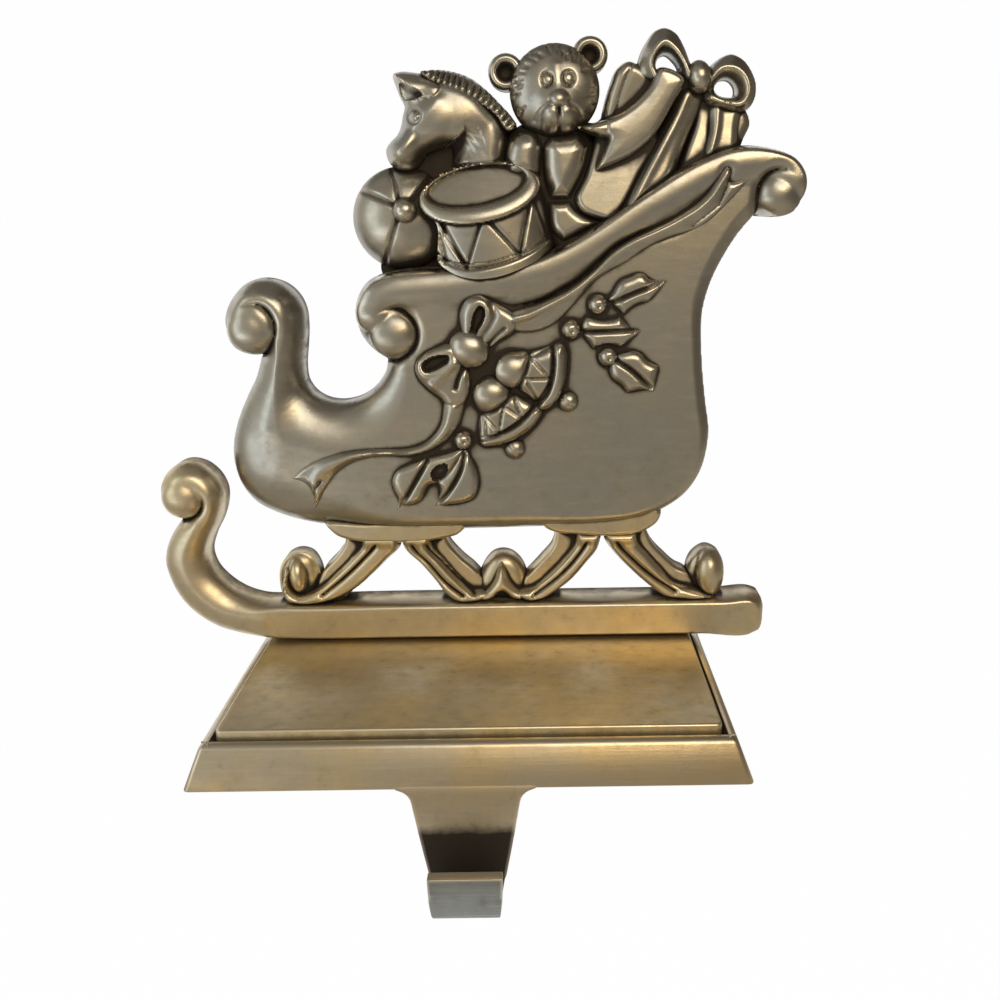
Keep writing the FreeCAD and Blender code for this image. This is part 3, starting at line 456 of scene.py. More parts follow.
STRUT_RIBS = {
    "outer_left": ([(-30.4, 29.4, 1), (-30.1, 26.4), (-33.4, 22.4), (-36.9, 18.9), (-41.3, 14.9), (-44.8, 13.1),
                    (-47.6, 12.6), (-49.2, 13.8), (-49.7, 16.6), (-49.3, 19.6), (-50.2, 19.9), (-51.4, 16.9),
                    (-51.9, 13.2), (-50.8, 10.6), (-47.8, 9.6), (-42.7, 9.7), (-37.4, 11.2), (-32.0, 14.1),
                    (-28.1, 17.4), (-23.5, 21.9), (-20.2, 25.2), (-19.9, 29.4, 1)],
                   [[(-25.4, 29.0), (-26.3, 26.6), (-30.0, 22.3), (-34.8, 17.7), (-41.0, 12.7)]]),
    "inner_left": ([(-19.8, 29.4, 1), (-19.2, 25.1), (-15.0, 20.5), (-11.0, 15.4), (-8.5, 11.8), (-5.6, 9.8),
                    (-1.4, 9.6), (1.8, 10.6), (3.4, 12.6), (1.2, 13.4), (-0.8, 13.4), (-4.6, 16.9), (-8.4, 21.6),
                    (-11.6, 26.0), (-11.4, 29.4, 1)],
                   [[(-17.4, 28.0), (-16.6, 25.6), (-12.6, 21.0), (-8.6, 16.0), (-4.0, 12.0)],
                    [(-13.6, 28.0), (-13.0, 25.8), (-9.4, 21.4), (-5.4, 16.8), (-1.0, 12.4)]]),
    "inner_right": ([(25.8, 29.4, 1), (25.6, 26.0), (22.3, 21.4), (18.3, 17.2), (13.8, 13.7), (11.6, 13.4),
                     (9.4, 12.6), (11.0, 10.6), (13.4, 9.6), (16.4, 10.0), (20.9, 12.6), (24.8, 15.7), (28.8, 20.4),
                     (31.6, 24.0), (32.8, 29.4, 1)],
                    [[(29.2, 28.6), (28.4, 26.0), (25.8, 21.9), (21.4, 17.1), (15.0, 12.0)]]),
    "outer_right": ([(32.8, 29.4, 1), (33.4, 26.4), (35.9, 22.7), (39.8, 18.5), (44.4, 14.2), (49.0, 10.7),
                     (54.0, 9.6), (59.4, 9.5), (62.9, 10.4), (60.0, 11.9), (55.6, 13.4), (51.4, 14.9), (48.8, 18.0),
                     (45.0, 22.4), (42.1, 26.2), (41.7, 29.4, 1)],
                    [[(35.6, 29.0), (36.6, 26.2), (40.9, 21.2), (46.0, 16.6), (52.0, 12.4)]]),
}
PADS = {
    "left": [(-39.2, 32.2), (-38.0, 30.6), (-36.1, 28.9), (-33.6, 27.9), (-30.2, 27.2), (-25.0, 26.9), (-18.0, 26.8),
             (-12.6, 27.1), (-8.3, 27.9), (-4.8, 28.8), (-3.0, 30.2), (-1.8, 32.2), (-12.0, 33.0), (-28.0, 33.0)],
    "right": [(16.6, 32.2), (17.6, 30.4), (20.0, 29.2), (25.6, 28.4), (31.0, 27.9), (37.2, 27.9), (42.0, 28.5),
              (44.7, 29.7), (47.2, 31.8), (48.0, 34.4), (47.0, 36.0), (40.0, 35.0), (28.0, 33.4)],
}
PEAK_BACK = [(-1.0, 9.6, 1), (-0.8, 13.2), (0.6, 17.0), (2.4, 20.2), (4.2, 21.9), (6.5, 22.5), (9.0, 21.9),
             (10.9, 20.3), (12.6, 17.2), (13.1, 13.0), (13.2, 9.6, 1)]
PEAK_FRONT = [(6.3, 21.0), (7.5, 18.9), (8.6, 15.9), (10.4, 13.6), (12.8, 12.2), (11.4, 10.0), (8.8, 10.6),
              (6.3, 12.5), (3.8, 10.6), (1.0, 9.9), (-0.4, 12.0), (2.2, 13.5), (4.0, 15.9), (5.1, 18.9)]
EGG_BACK = [(-52.8, 15.9), (-52.2, 19.8), (-50.2, 22.6), (-47.0, 23.7), (-44.1, 22.7), (-42.4, 19.9), (-41.8, 17.2),
            (-42.6, 13.4), (-44.8, 10.4), (-49.0, 9.7), (-52.0, 11.6)]
EGG_RIGHT = [(55.4, 17.0), (57.3, 21.4), (60.4, 23.2), (63.5, 21.9), (65.2, 18.3), (65.0, 14.0), (63.2, 10.4),
             (59.4, 9.8), (56.4, 12.4)]


def runner_depth(p):
    edge = p.edge(RUNNER)
    radius = mix(6.0, 1.5, step(p.x, -72, -52)) + 1.2 * step(p.x, 71, 74)
    depth = 5.4 + (10.5 - 5.4) * crown(edge, radius)
    depth += 0.4 * soft(p.line(RUNNER_CREST), 2.4) * step(edge, 0, 3)
    far, along = p.line(CURL_GROOVE, share=True)
    depth -= 3.0 * notch(far, 2.8) * step(along, -0.1, 0.3)
    knob = p.ball(-75.4, 39.6, 5.6)
    return np.where(knob > 0, higher(depth, 7.4 + 4.4 * knob), depth)


def rib_depth(p, outline, grooves):
    rise = step(p.z, 25.0, 27.6)
    depth = 6.0 + (3.9 + 0.8 * rise) * crown(p.edge(outline), 2.1)
    for groove in grooves:
        depth -= 2.3 * notch(p.line(groove), 1.5) * (1 - step(p.z, 25.6, 27.4))
    return depth


# Garland, bow and ribbon tail

GARLAND = [(9.0, 86.0), (12.9, 87.2), (17.2, 88.4), (26.3, 92.8), (30.9, 96.5), (34.7, 100.2), (39.7, 103.4),
           (44.5, 105.6), (48.1, 107.3), (51.0, 109.0), (53.9, 111.0), (56.7, 113.6), (58.5, 116.3),
           (61.2, 120.0, 1), (62.4, 118.9), (62.9, 116.2, 1), (65.0, 116.4), (67.8, 116.9, 1), (65.5, 114.2),
           (63.2, 111.8), (60.7, 109.2), (58.1, 106.9), (55.8, 105.4), (53.2, 104.3), (49.1, 103.1), (45.4, 101.7),
           (41.9, 99.8), (38.8, 97.6), (34.5, 95.3), (30.9, 93.0), (28.7, 90.8), (26.7, 88.5), (22.8, 84.4),
           (19.6, 82.1), (15.9, 80.9), (12.3, 80.9), (8.6, 82.0)]
GARLAND_FOLD = [(11.0, 84.6), (14.3, 85.4), (18.6, 87.6), (26.2, 92.1), (30.4, 96.0), (35.8, 100.4), (40.4, 102.8),
                (45.2, 104.7), (50.9, 107.4), (55.5, 110.1), (58.3, 112.9), (60.1, 115.8), (61.6, 118.2)]
LOOP_RIGHT = [(-2.0, 80.2), (-2.6, 83.6), (-2.6, 86.0), (-2.1, 87.7), (-0.8, 89.8), (1.2, 90.8), (2.8, 90.9),
              (4.7, 89.9), (6.9, 88.6), (10.0, 86.9), (12.0, 85.1), (12.2, 83.2), (10.9, 81.2), (7.4, 79.0),
              (4.0, 77.0), (1.0, 78.0)]
LOOP_RIGHT_EYE = [(2.8, 88.0), (3.9, 87.0), (3.7, 84.7), (2.4, 82.4), (1.0, 80.4), (0.2, 80.8), (0.5, 83.4),
                  (1.2, 86.2)]
LOOP_LEFT = [(-3.4, 79.4), (-8.5, 78.0), (-11.2, 76.7), (-13.3, 74.9), (-13.9, 72.6), (-13.1, 70.0), (-10.6, 67.2),
             (-7.7, 64.9), (-6.3, 62.9), (-4.1, 62.3), (-2.0, 63.1), (-0.3, 65.9), (0.3, 70.0), (-0.4, 72.8),
             (-1.0, 75.6)]
LOOP_LEFT_EYE = [(-5.2, 75.8), (-8.3, 76.0), (-10.5, 75.2), (-12.0, 73.4), (-11.2, 72.1), (-9.2, 72.2),
                 (-7.0, 73.3), (-5.2, 74.7)]
RIBBON_TAIL = [(-0.6, 66.0), (-1.6, 62.4), (-2.6, 59.0), (-4.9, 55.4), (-8.1, 52.9), (-12.0, 51.1), (-15.4, 50.4),
               (-20.9, 50.6), (-25.9, 50.2), (-30.5, 48.7), (-33.6, 46.6), (-36.4, 43.2), (-38.6, 39.9),
               (-40.8, 36.9, 1), (-41.4, 39.8), (-41.4, 42.7, 1), (-43.4, 44.0), (-46.9, 45.0, 1), (-44.2, 47.7),
               (-41.0, 49.8), (-37.9, 51.1), (-33.3, 52.4), (-28.3, 52.9), (-22.0, 53.0), (-17.0, 53.0),
               (-13.2, 53.9), (-10.1, 56.1), (-8.2, 59.0), (-7.6, 62.4), (-7.0, 66.0)]
RIBBON_CREST = [(-41.0, 42.4), (-38.9, 46.6), (-35.3, 49.0), (-30.7, 51.0), (-23.2, 52.0), (-15.7, 51.9),
                (-10.4, 53.9), (-6.6, 57.8), (-4.6, 63.0)]


def garland_depth(p):
    depth = 10.8 + 2.4 * crown(p.edge(GARLAND), 1.9)
    depth += 1.1 * soft(p.line(GARLAND_FOLD), 1.2)
    return depth - 0.8 * notch(p.zigzag([(62.2, 116.4), (60.0, 110.6), (54.0, 106.0)]), 1.1)


def loop_right_depth(p):
    eye = p.edge(LOOP_RIGHT_EYE)
    depth = 11.2 + 3.0 * crown(p.edge(LOOP_RIGHT), 2.4)
    depth += 0.5 * soft(np.abs(eye + 0.9), 1.2)
    depth -= 2.6 * crown(np.maximum(eye, 0), 2.0)
    depth -= 1.0 * soft(p.line([(4.4, 78.4), (6.2, 80.2), (8.4, 82.2)]), 0.6)
    return depth - 0.8 * soft(p.line([(5.4, 88.2), (6.2, 86.0), (5.0, 83.0), (3.0, 80.4)]), 0.8)


def loop_left_depth(p):
    eye = p.edge(LOOP_LEFT_EYE)
    depth = 11.2 + 3.0 * crown(p.edge(LOOP_LEFT), 2.4)
    depth += 0.5 * soft(np.abs(eye + 0.9), 1.2)
    depth -= 2.2 * crown(np.maximum(eye, 0), 1.8)
    depth += 0.6 * soft(p.line([(-3.6, 74.0), (-6.4, 71.4), (-9.5, 68.7)]), 1.1)
    return depth - 1.1 * soft(p.line([(-1.8, 72.9), (-3.2, 70.2), (-3.8, 68.0)]), 0.6)


def ribbon_tail_depth(p):
    depth = 10.9 + 2.5 * crown(p.edge(RIBBON_TAIL), 2.2)
    depth += 0.9 * soft(p.line(RIBBON_CREST), 1.3)
    return depth - 1.2 * notch(p.line([(-40.9, 38.6), (-40.4, 42.0), (-38.6, 44.6)]), 1.0)


def ribbon_pieces():
    add_relief("garland", [GARLAND], garland_depth, floor=7.0)
    add_relief("ribbon_tail", [RIBBON_TAIL], ribbon_tail_depth, floor=7.0)
    add_relief("bow_loop_right", [LOOP_RIGHT], loop_right_depth, floor=7.0)
    add_relief("bow_loop_left", [LOOP_LEFT], loop_left_depth, floor=7.0)
    knot = ellipse(-0.2, 77.4, 5.1, 4.5, -35)
    add_relief("bow_knot", [knot], lambda p: 12.4 + 3.8 * p.ball(-0.2, 77.4, 5.3, 4.7, -35), floor=7.0)


# Bells, berries and holly

BELLS = {
    "upper": dict(
        outline=[(8.4, 67.8), (6.6, 69.5), (6.1, 72.5), (7.2, 75.3), (9.8, 76.9), (12.2, 77.1), (15.2, 77.0),
                 (17.3, 77.5), (20.0, 78.5), (22.9, 79.0), (24.0, 77.1), (24.1, 72.2), (23.3, 67.3), (21.5, 64.0),
                 (18.6, 61.9), (16.8, 61.8), (15.4, 63.8), (13.2, 65.6), (11.0, 67.0)],
        shoulder=[(14.5, 77.4), (14.4, 75.3), (13.6, 72.1), (12.3, 69.0), (10.8, 66.6)],
        mouth=[(20.1, 79.0), (20.3, 74.2), (19.7, 69.8), (18.4, 66.1), (15.8, 63.2)],
        lip=[(21.7, 78.4), (22.1, 73.6), (21.5, 68.8), (19.9, 65.0), (17.5, 62.8)],
        lacing=[(19.9, 77.6), (14.9, 75.3), (19.4, 70.1), (13.6, 70.1), (16.2, 64.2), (19.2, 68.4)],
        crown_ball=(10.2, 72.0, 4.9, 4.6), clapper=(23.9, 64.0)),
    "lower": dict(
        outline=[(10.1, 67.3), (8.4, 69.4), (6.5, 70.9), (4.3, 71.2), (2.1, 70.1), (0.5, 67.7), (0.4, 64.6),
                 (1.5, 61.4), (1.2, 57.7), (1.2, 54.6), (2.1, 53.1), (5.6, 52.9), (9.3, 53.6), (13.2, 55.6),
                 (16.3, 58.6), (17.8, 62.3), (15.9, 64.2), (13.0, 65.7)],
        shoulder=[(1.0, 61.3), (5.8, 62.4), (8.6, 64.6), (10.5, 67.6)],
        mouth=[(1.0, 54.6), (6.9, 56.4), (10.7, 58.6), (13.9, 61.3), (16.2, 64.4)],
        lip=[(1.9, 53.9), (6.2, 54.6), (10.0, 56.1), (13.6, 58.4), (16.8, 62.3)],
        lacing=[(3.5, 56.0), (2.9, 61.0), (6.6, 56.9), (7.8, 63.4), (12.2, 60.4), (10.3, 66.8), (14.7, 63.8)],
        crown_ball=(4.9, 66.0, 4.8, 4.5), clapper=(10.5, 52.2)),
}
BERRIES = {"tail": (-2.4, 54.7), "garland": (24.7, 81.8), "upper": (31.2, 87.7), "lower": (33.7, 75.1)}
LEAVES = {
    "upper": ([(33.4, 88.3), (34.8, 90.9), (36.5, 93.5), (38.8, 94.4), (41.2, 95.3), (42.7, 94.8), (43.8, 93.7),
               (45.8, 93.5), (48.4, 93.4, 1), (46.5, 91.2), (44.9, 89.4), (43.7, 88.2), (41.3, 87.7), (38.9, 86.3),
               (37.5, 84.8, 1), (36.2, 86.1), (34.5, 87.4)],
              [(33.8, 87.8), (38.9, 90.0), (46.0, 92.7)]),
    "middle": ([(26.8, 81.5), (28.3, 84.9), (31.7, 84.4), (34.6, 84.4), (36.7, 85.1, 1), (38.2, 83.3), (39.6, 82.2),
                (42.3, 81.3, 1), (40.0, 79.4), (38.0, 77.8), (36.6, 77.0, 1), (34.1, 77.8), (31.7, 77.4),
                (30.0, 76.8, 1), (28.4, 79.1)],
               [(27.2, 81.2), (32.9, 81.4), (39.6, 81.6)]),
    "lower": ([(35.0, 75.2), (37.8, 76.4), (40.1, 76.6), (41.9, 75.9), (43.6, 74.1), (46.5, 72.6, 1), (45.9, 69.8),
               (45.2, 65.7, 1), (42.8, 66.6), (40.6, 66.4), (38.4, 65.8, 1), (36.9, 67.9), (34.7, 69.4),
               (33.9, 71.6), (34.1, 73.6)],
              [(35.6, 74.4), (39.1, 72.1), (44.3, 67.2)]),
    "left": ([(-2.2, 52.6), (-7.0, 51.6), (-12.0, 50.4), (-16.5, 48.8), (-19.7, 47.0), (-20.9, 44.4), (-20.5, 41.8),
              (-19.5, 39.5), (-20.2, 36.6, 1), (-17.4, 37.7), (-15.0, 38.2), (-13.1, 39.4), (-12.2, 41.5),
              (-11.3, 43.0), (-9.5, 43.4), (-6.6, 45.1), (-4.0, 48.6)],
             [(-11.6, 49.6), (-14.4, 44.9), (-18.6, 38.0)]),
    "right": ([(-2.0, 52.6), (0.0, 49.3), (1.2, 46.5), (1.3, 42.8), (0.2, 39.7), (-3.1, 38.2), (-6.7, 37.8),
               (-10.6, 37.4, 1), (-9.4, 39.6), (-8.8, 42.2), (-9.5, 43.8), (-6.9, 46.6), (-4.6, 49.6)],
              [(-2.2, 51.1), (-3.4, 46.8), (-6.0, 42.2), (-9.2, 38.4)]),
}
LEAF_EYE = [(-6.6, 48.8), (-8.8, 48.6), (-10.6, 46.6), (-10.0, 44.6), (-8.0, 45.1), (-6.4, 47.4)]


def bell_depth(p, bell):
    edge = p.edge(bell["outline"])
    depth = 11.0 + 3.6 * crown(edge, 3.4)
    x, z, wide, tall = bell["crown_ball"]
    rise = p.ball(x, z, wide, tall)
    depth = np.where(rise > 0, higher(depth, 12.4 + 3.4 * rise, 0.5), depth)
    depth += 1.1 * crown(np.maximum(1.5 - p.line(bell["lip"]), 0), 1.5) * step(edge, -0.1, 0.8)
    depth -= 1.0 * soft(p.line(bell["shoulder"]), 0.55) + 1.0 * soft(p.line(bell["mouth"]), 0.5)
    band = step(p.line(bell["shoulder"]), 0.0, 0.5)
    return depth - 0.6 * soft(p.zigzag(bell["lacing"]), 0.4) * band


def berry_depth(p, x, z):
    return 12.2 + 2.9 * p.ball(x, z, 2.45) - 0.7 * soft(np.hypot(p.x - x - 0.4, p.z - z + 0.3), 0.55)


def leaf_depth(p, outline, vein, eyed):
    depth = 11.6 + 2.6 * crown(p.edge(outline), 2.4)
    depth -= 1.3 * soft(p.line(vein), 0.6)
    if eyed:
        depth -= 2.6 * crown(np.maximum(p.edge(LEAF_EYE), 0), 0.9)
    return depth


def trimming_pieces():
    for name, bell in BELLS.items():
        x, z = bell["clapper"]
        add_relief("clapper_" + name, [ellipse(x, z, 2.6, 2.6)], lambda p, x=x, z=z: 11.4 + 2.6 * p.ball(x, z, 2.7)
                   - 0.5 * notch(p.zigzag([(x - 2, z + 1.5), (x + 1.6, z - 1.8)]), 0.5), floor=8.0)
        add_relief("bell_" + name, [bell["outline"]], lambda p, bell=bell: bell_depth(p, bell), floor=8.0)
    for name, (x, z) in BERRIES.items():
        add_relief("berry_" + name, [ellipse(x, z, 2.35, 2.35)], lambda p, x=x, z=z: berry_depth(p, x, z), floor=8.0)
    for name, (outline, vein) in LEAVES.items():
        add_relief("leaf_" + name, [outline], lambda p, outline=outline, vein=vein, name=name: leaf_depth(
            p, outline, vein, name in ("left", "right")), floor=8.0)


# Toys

HORSE = [(-16.8, 141.4), (-14.6, 142.0), (-12.4, 141.8), (-9.1, 141.4), (-4.7, 141.4), (-1.2, 140.4), (3.0, 138.0),
         (6.8, 134.0), (9.6, 129.8), (10.2, 126.0), (9.9, 122.5), (8.8, 117.0), (2.0, 115.8), (-4.0, 115.6),
         (-3.6, 121.8), (-4.5, 124.4), (-6.7, 124.0), (-9.6, 122.7), (-11.1, 121.0), (-13.1, 119.2), (-15.5, 119.1),
         (-17.9, 120.5), (-19.1, 122.5), (-19.2, 124.5), (-18.1, 126.1), (-16.4, 127.7), (-15.5, 129.7),
         (-14.9, 132.2), (-14.4, 134.2), (-15.3, 136.0), (-16.2, 138.4)]
EAR = [(-16.4, 141.0), (-13.7, 141.4), (-10.9, 141.1), (-7.7, 139.8), (-5.4, 137.4), (-6.4, 136.1), (-9.0, 135.4),
       (-12.1, 135.2), (-14.5, 135.6), (-15.6, 138.0)]
EAR_HOLLOW = [(-14.9, 138.9), (-12.0, 138.1), (-9.4, 136.2), (-11.6, 135.2), (-14.2, 135.4)]
UNDER_JAW = [(0.5, 130.4), (0.1, 128.3), (-1.9, 126.5), (-4.5, 125.0), (-7.7, 123.8), (-10.1, 122.2), (-6.0, 117.0),
             (2.0, 116.0), (5.2, 120.0), (4.6, 126.0), (2.4, 129.6)]
JAW = [(0.9, 130.9), (0.1, 128.3), (-1.9, 126.5), (-4.5, 125.0), (-7.7, 123.8), (-10.1, 122.2)]
FACE_CREST = [(-6.2, 135.0), (-9.7, 131.3), (-12.0, 128.0), (-14.5, 124.5), (-16.2, 122.0)]
MANE = [(-10.0, 141.2), (-7.8, 141.7), (-4.4, 141.9), (-0.9, 141.2), (2.1, 139.8), (5.5, 137.1), (8.4, 134.2),
        (11.2, 131.1), (12.3, 129.2), (10.3, 128.0), (7.5, 131.6), (4.1, 134.1), (0.7, 136.2), (-3.2, 137.7),
        (-6.6, 138.9), (-8.8, 140.2)]
MANE_ROOTS = [(-9.6, 140.8), (-6.7, 138.7), (-3.2, 137.2), (0.6, 136.0), (4.1, 133.9), (7.5, 131.3),
              (10.1, 128.2)]
BALL = ellipse(-15.9, 108.4, 12.2, 12.2)
DRUM = [(-11.8, 111.6), (-10.4, 109.4), (-7.4, 107.4), (-7.1, 102.2), (-7.3, 98.6), (-3.6, 95.6), (0.4, 94.4),
        (6.4, 94.6), (12.5, 96.4), (17.6, 98.9), (21.2, 102.3), (20.9, 108.8), (18.8, 114.4), (17.4, 118.4),
        (8.0, 119.8), (-4.0, 117.8)]
DRUM_LACING = [[(-5.6, 107.6), (-5.2, 104.0), (-0.2, 97.0), (3.6, 107.8)], [(5.2, 107.8), (12.6, 99.9), (14.9, 110.6)],
               [(-6.7, 104.5), (-5.4, 98.0)], [(16.4, 111.6), (19.4, 103.6)], [(-6.0, 107.2), (-0.2, 97.0)]]
DRUM_FOOT = [(-7.4, 99.9), (-3.3, 97.4), (0.2, 96.6), (4.1, 97.0), (10.2, 98.5), (15.4, 100.7), (20.9, 104.3)]
BEAR_BODY = [(9.0, 121.0), (9.0, 124.8), (10.4, 127.8), (13.0, 129.2), (17.0, 129.6), (27.0, 129.4), (30.2, 127.2),
             (31.4, 121.8), (29.4, 112.0), (33.0, 106.0), (30.0, 100.4), (22.0, 98.8), (19.0, 104.0), (17.0, 112.0),
             (12.0, 118.0)]
BELLY = [(18.4, 125.0), (20.2, 127.0, 1), (26.8, 127.4, 1), (29.7, 124.4, 1), (28.7, 119.9), (26.7, 115.7),
         (24.8, 112.4, 1), (19.9, 112.4, 1), (18.6, 116.6), (18.1, 121.3)]
ARM = [(9.5, 123.9), (10.6, 126.4), (13.6, 128.0), (16.9, 127.4), (18.4, 125.2), (18.2, 121.3), (17.8, 117.9),
       (13.9, 116.7), (9.5, 118.5), (9.1, 121.4)]
LAP = [(19.4, 111.8, 1), (24.8, 112.1, 1), (25.9, 110.6), (29.3, 108.4), (34.2, 107.0, 1), (28.4, 104.6),
       (23.1, 102.3, 1), (20.5, 104.7)]
WEB = [(-22.0, 96.0), (-18.0, 108.0), (-15.2, 119.6), (-11.6, 123.6), (-7.0, 127.0), (4.0, 131.0), (9.0, 128.0),
       (14.0, 130.0), (26.0, 131.0), (31.0, 130.0), (36.0, 136.0), (46.0, 136.0), (62.0, 130.0), (64.0, 122.0),
       (50.0, 112.0), (24.0, 96.0), (0.0, 90.0)]


def horse_depth(p):
    depth = 4.0 + 5.8 * crown(p.edge(HORSE), 4.4)
    depth += 1.7 * p.ball(-3.2, 131.4, 10.2, 8.4, 20) ** 3 + 1.4 * p.ball(-14.6, 123.8, 6.4, 5.4, -35) ** 3
    depth += 0.9 * p.ball(-9.8, 128.6, 10.0, 5.4, 50) ** 3
    jaw, along = p.line(JAW, share=True)
    under = p.holds(smooth_line(UNDER_JAW, True))
    depth -= np.where(under, 4.2 * soft(jaw, 4.2), 1.2 * notch(jaw, 2.6)) * step(along, 0.02, 0.45)
    depth -= 4.6 * (1 - step(p.z, 117.6, 121.4)) * step(p.x, -8, -6)
    depth += 0.5 * soft(p.line(FACE_CREST), 1.7)
    depth += 1.0 * crown(np.maximum(p.edge(EAR), 0), 2.2)
    depth -= 2.4 * crown(np.maximum(p.edge(EAR_HOLLOW), 0), 1.8)
    eye = np.hypot(p.x + 11.6, p.z - 131.5)
    return depth + 0.45 * p.ball(-11.6, 131.5, 1.15) - 0.4 * soft(eye - 1.5, 0.4)


def mane_depth(p):
    far, along = p.line(MANE_ROOTS, share=True)
    lock = (along * 16 + 0.1 * far) % 1.0
    cut = soft((lock - 0.5) * 1.6, 0.3) * step(far, 0.1, 0.7)
    return 9.6 - 0.2 * far ** 2 + 0.9 * crown(p.edge(MANE), 1.0) - 1.1 * cut


def ball_depth(p):
    depth = 1.5 + 9.4 * p.ball(-15.9, 108.4, 12.8)
    seams = ([(-25.8, 115.1), (-21.5, 113.5), (-16.8, 111.4)], [(-16.4, 108.7), (-18.7, 103.0), (-20.9, 97.0)],
             [(-13.2, 112.4), (-9.7, 117.2), (-6.6, 120.6)], [(-16.2, 112.4), (-16.8, 116.4), (-18.4, 119.8)])
    for seam in seams:
        depth -= 0.8 * soft(p.line(seam), 0.55)
    return depth


def drum_depth(p):
    turn = math.radians(9.3)
    u = ((p.x - 3.15) * math.cos(turn) + (p.z - 114.2) * math.sin(turn))
    v = ((p.z - 114.2) * math.cos(turn) - (p.x - 3.15) * math.sin(turn))
    body = 4.6 + 9.4 * np.clip(1 - np.abs(u / 15.4) ** 2.2, 0, 1) ** 0.5
    for lace in DRUM_LACING:
        body -= 0.7 * soft(p.zigzag(lace), 0.45)
    below = v < np.interp(u, (-14, -6, 0, 8, 16), (-13.2, -15.7, -16.2, -15.4, -12.3))
    body = body + np.where(below, 1.0, 0.0) - 0.9 * soft(p.line(DRUM_FOOT), 0.5)
    rim = np.hypot(u / 14.6, v / 6.9)
    inner = np.hypot((u + 0.52) / 12.1, (v - 1.55) / 4.55)
    across = np.clip((inner - 1) / np.maximum(inner - rim, 1e-3), 0, 1)
    lean = 1.2 - 3.4 * v / 6.9 - 1.4 * (u / 14.6) ** 2
    head = 11.2 + lean - 0.8 * step(1 - inner, 0, 0.05)
    hoop = 11.2 + lean + 1.2 * np.sqrt(np.clip(1 - (2 * across - 1) ** 2, 0, 1))
    return np.where(rim < 1, np.where(inner < 1, head, hoop), body)


def body_depth(p):
    depth = 5.4 + 2.2 * crown(p.edge(BEAR_BODY), 3.0)
    belly, arm, lap = p.edge(BELLY), p.edge(ARM), p.edge(LAP)
    dome = 6.6 + 2.6 * crown(belly, 3.6) + 1.3 * p.ball(23.6, 122.6, 8.0, 10.0) ** 2
    depth = higher(depth, np.where(belly > 0, dome, 0), 0.1)
    dome = 6.4 + 2.4 * crown(arm, 3.4) + 1.5 * p.ball(14.4, 123.8, 6.6, 7.0) ** 2 - 2.6 * step(121.6 - p.z, 0, 2.4)
    depth = higher(depth, np.where(arm > 0, dome, 0), 0.1)
    return higher(depth, np.where(lap > 0, 5.6 + 2.2 * crown(lap, 2.8), 0), 0.1)


def body_depth(p):
    depth = 4.0 + 3.4 * crown(p.edge(BEAR_BODY), 3.0)
    depth = higher(depth, np.where(p.edge(BELLY) > 0, 6.0 + 5.2 * crown(p.edge(BELLY), 4.8), 0), 0.1)
    depth = higher(depth, np.where(p.edge(ARM) > 0, 6.0 + 4.9 * crown(p.edge(ARM), 4.4), 0), 0.1)
    return higher(depth, np.where(p.edge(LAP) > 0, 6.0 + 3.6 * crown(p.edge(LAP), 2.6), 0), 0.1)


def bear_head_depth(p):
    x, z = 21.3, 136.9
    depth = 5.0 + 6.8 * p.ball(x, z, 11.0, 11.0)
    depth += 1.7 * p.ball(21.9, 132.0, 7.4, 6.4) ** 3
    for lobe in (20.3, 24.3):
        depth += 1.0 * p.ball(lobe, 129.9, 2.35, 3.5) ** 1.5
    depth += 1.1 * p.ball(22.2, 134.8, 2.4, 1.9) ** 1.5
    depth += 0.4 * soft(p.zigzag([(21.9, 137.0), (21.7, 142.2)]), 1.2)
    for eye_x, eye_z in ((19.5, 139.0), (24.6, 139.3)):
        far = np.hypot(p.x - eye_x, (p.z - eye_z) / 1.15)
        depth += 0.5 * p.ball(eye_x, eye_z, 1.15, 1.3) - 0.45 * soft(far - 1.35, 0.3)
    depth -= 0.7 * soft(p.line([(22.2, 132.8), (22.3, 129.6), (22.3, 126.9)]), 0.4)
    depth -= 0.4 * soft(p.line([(20.0, 134.0), (18.0, 132.4), (16.6, 130.2)]), 0.45)
    depth -= 0.4 * soft(p.line([(24.8, 133.8), (26.6, 132.6), (27.6, 131.0)]), 0.45)
    chance = np.random.default_rng(7)
    for _ in range(64):
        angle = math.radians(chance.uniform(-20, 215))
        reach = chance.uniform(7.4, 10.0)
        start = (x + reach * math.cos(angle), z + reach * math.sin(angle))
        end = (start[0] + 0.9 * math.cos(angle + 0.3), start[1] + 0.9 * math.sin(angle + 0.3))
        depth -= 0.34 * soft(p.zigzag([start, end]), 0.3)
    return depth


def ear_depth(p, x, z):
    far = np.hypot(p.x - x, p.z - z)
    return 4.8 + 2.2 * np.sqrt(np.clip(1 - ((far - 3.0) / 1.25) ** 2, 0, 1)) - 1.0 * step(2.3 - far, 0, 1.6)


def toy_pieces():
    add_relief("toy_backing", [WEB], lambda p: 3.2 + 0 * p.x, coarse=True)
    add_relief("ball", [BALL], ball_depth)
    button = ellipse(-14.8, 110.2, 3.0, 3.0)
    add_relief("ball_button", [button], lambda p: 9.4 + 3.6 * p.ball(-14.8, 110.2, 3.1), floor=5.0)
    add_relief("horse", [HORSE], horse_depth)
    add_relief("mane", [MANE], mane_depth)
    add_relief("bear_body", [BEAR_BODY], body_depth)
    for name, x, z in (("left", 9.9, 141.4), ("right", 29.7, 144.9)):
        add_relief("bear_ear_" + name, [ellipse(x, z, 4.2, 4.2)], lambda p, x=x, z=z: ear_depth(p, x, z))
    add_relief("bear_head", [ellipse(21.3, 136.9, 10.6, 10.6)], bear_head_depth)
    add_relief("drum", [DRUM, ellipse(3.15, 114.2, 14.6, 6.9, 9.3)], drum_depth)


# Gift and its bow

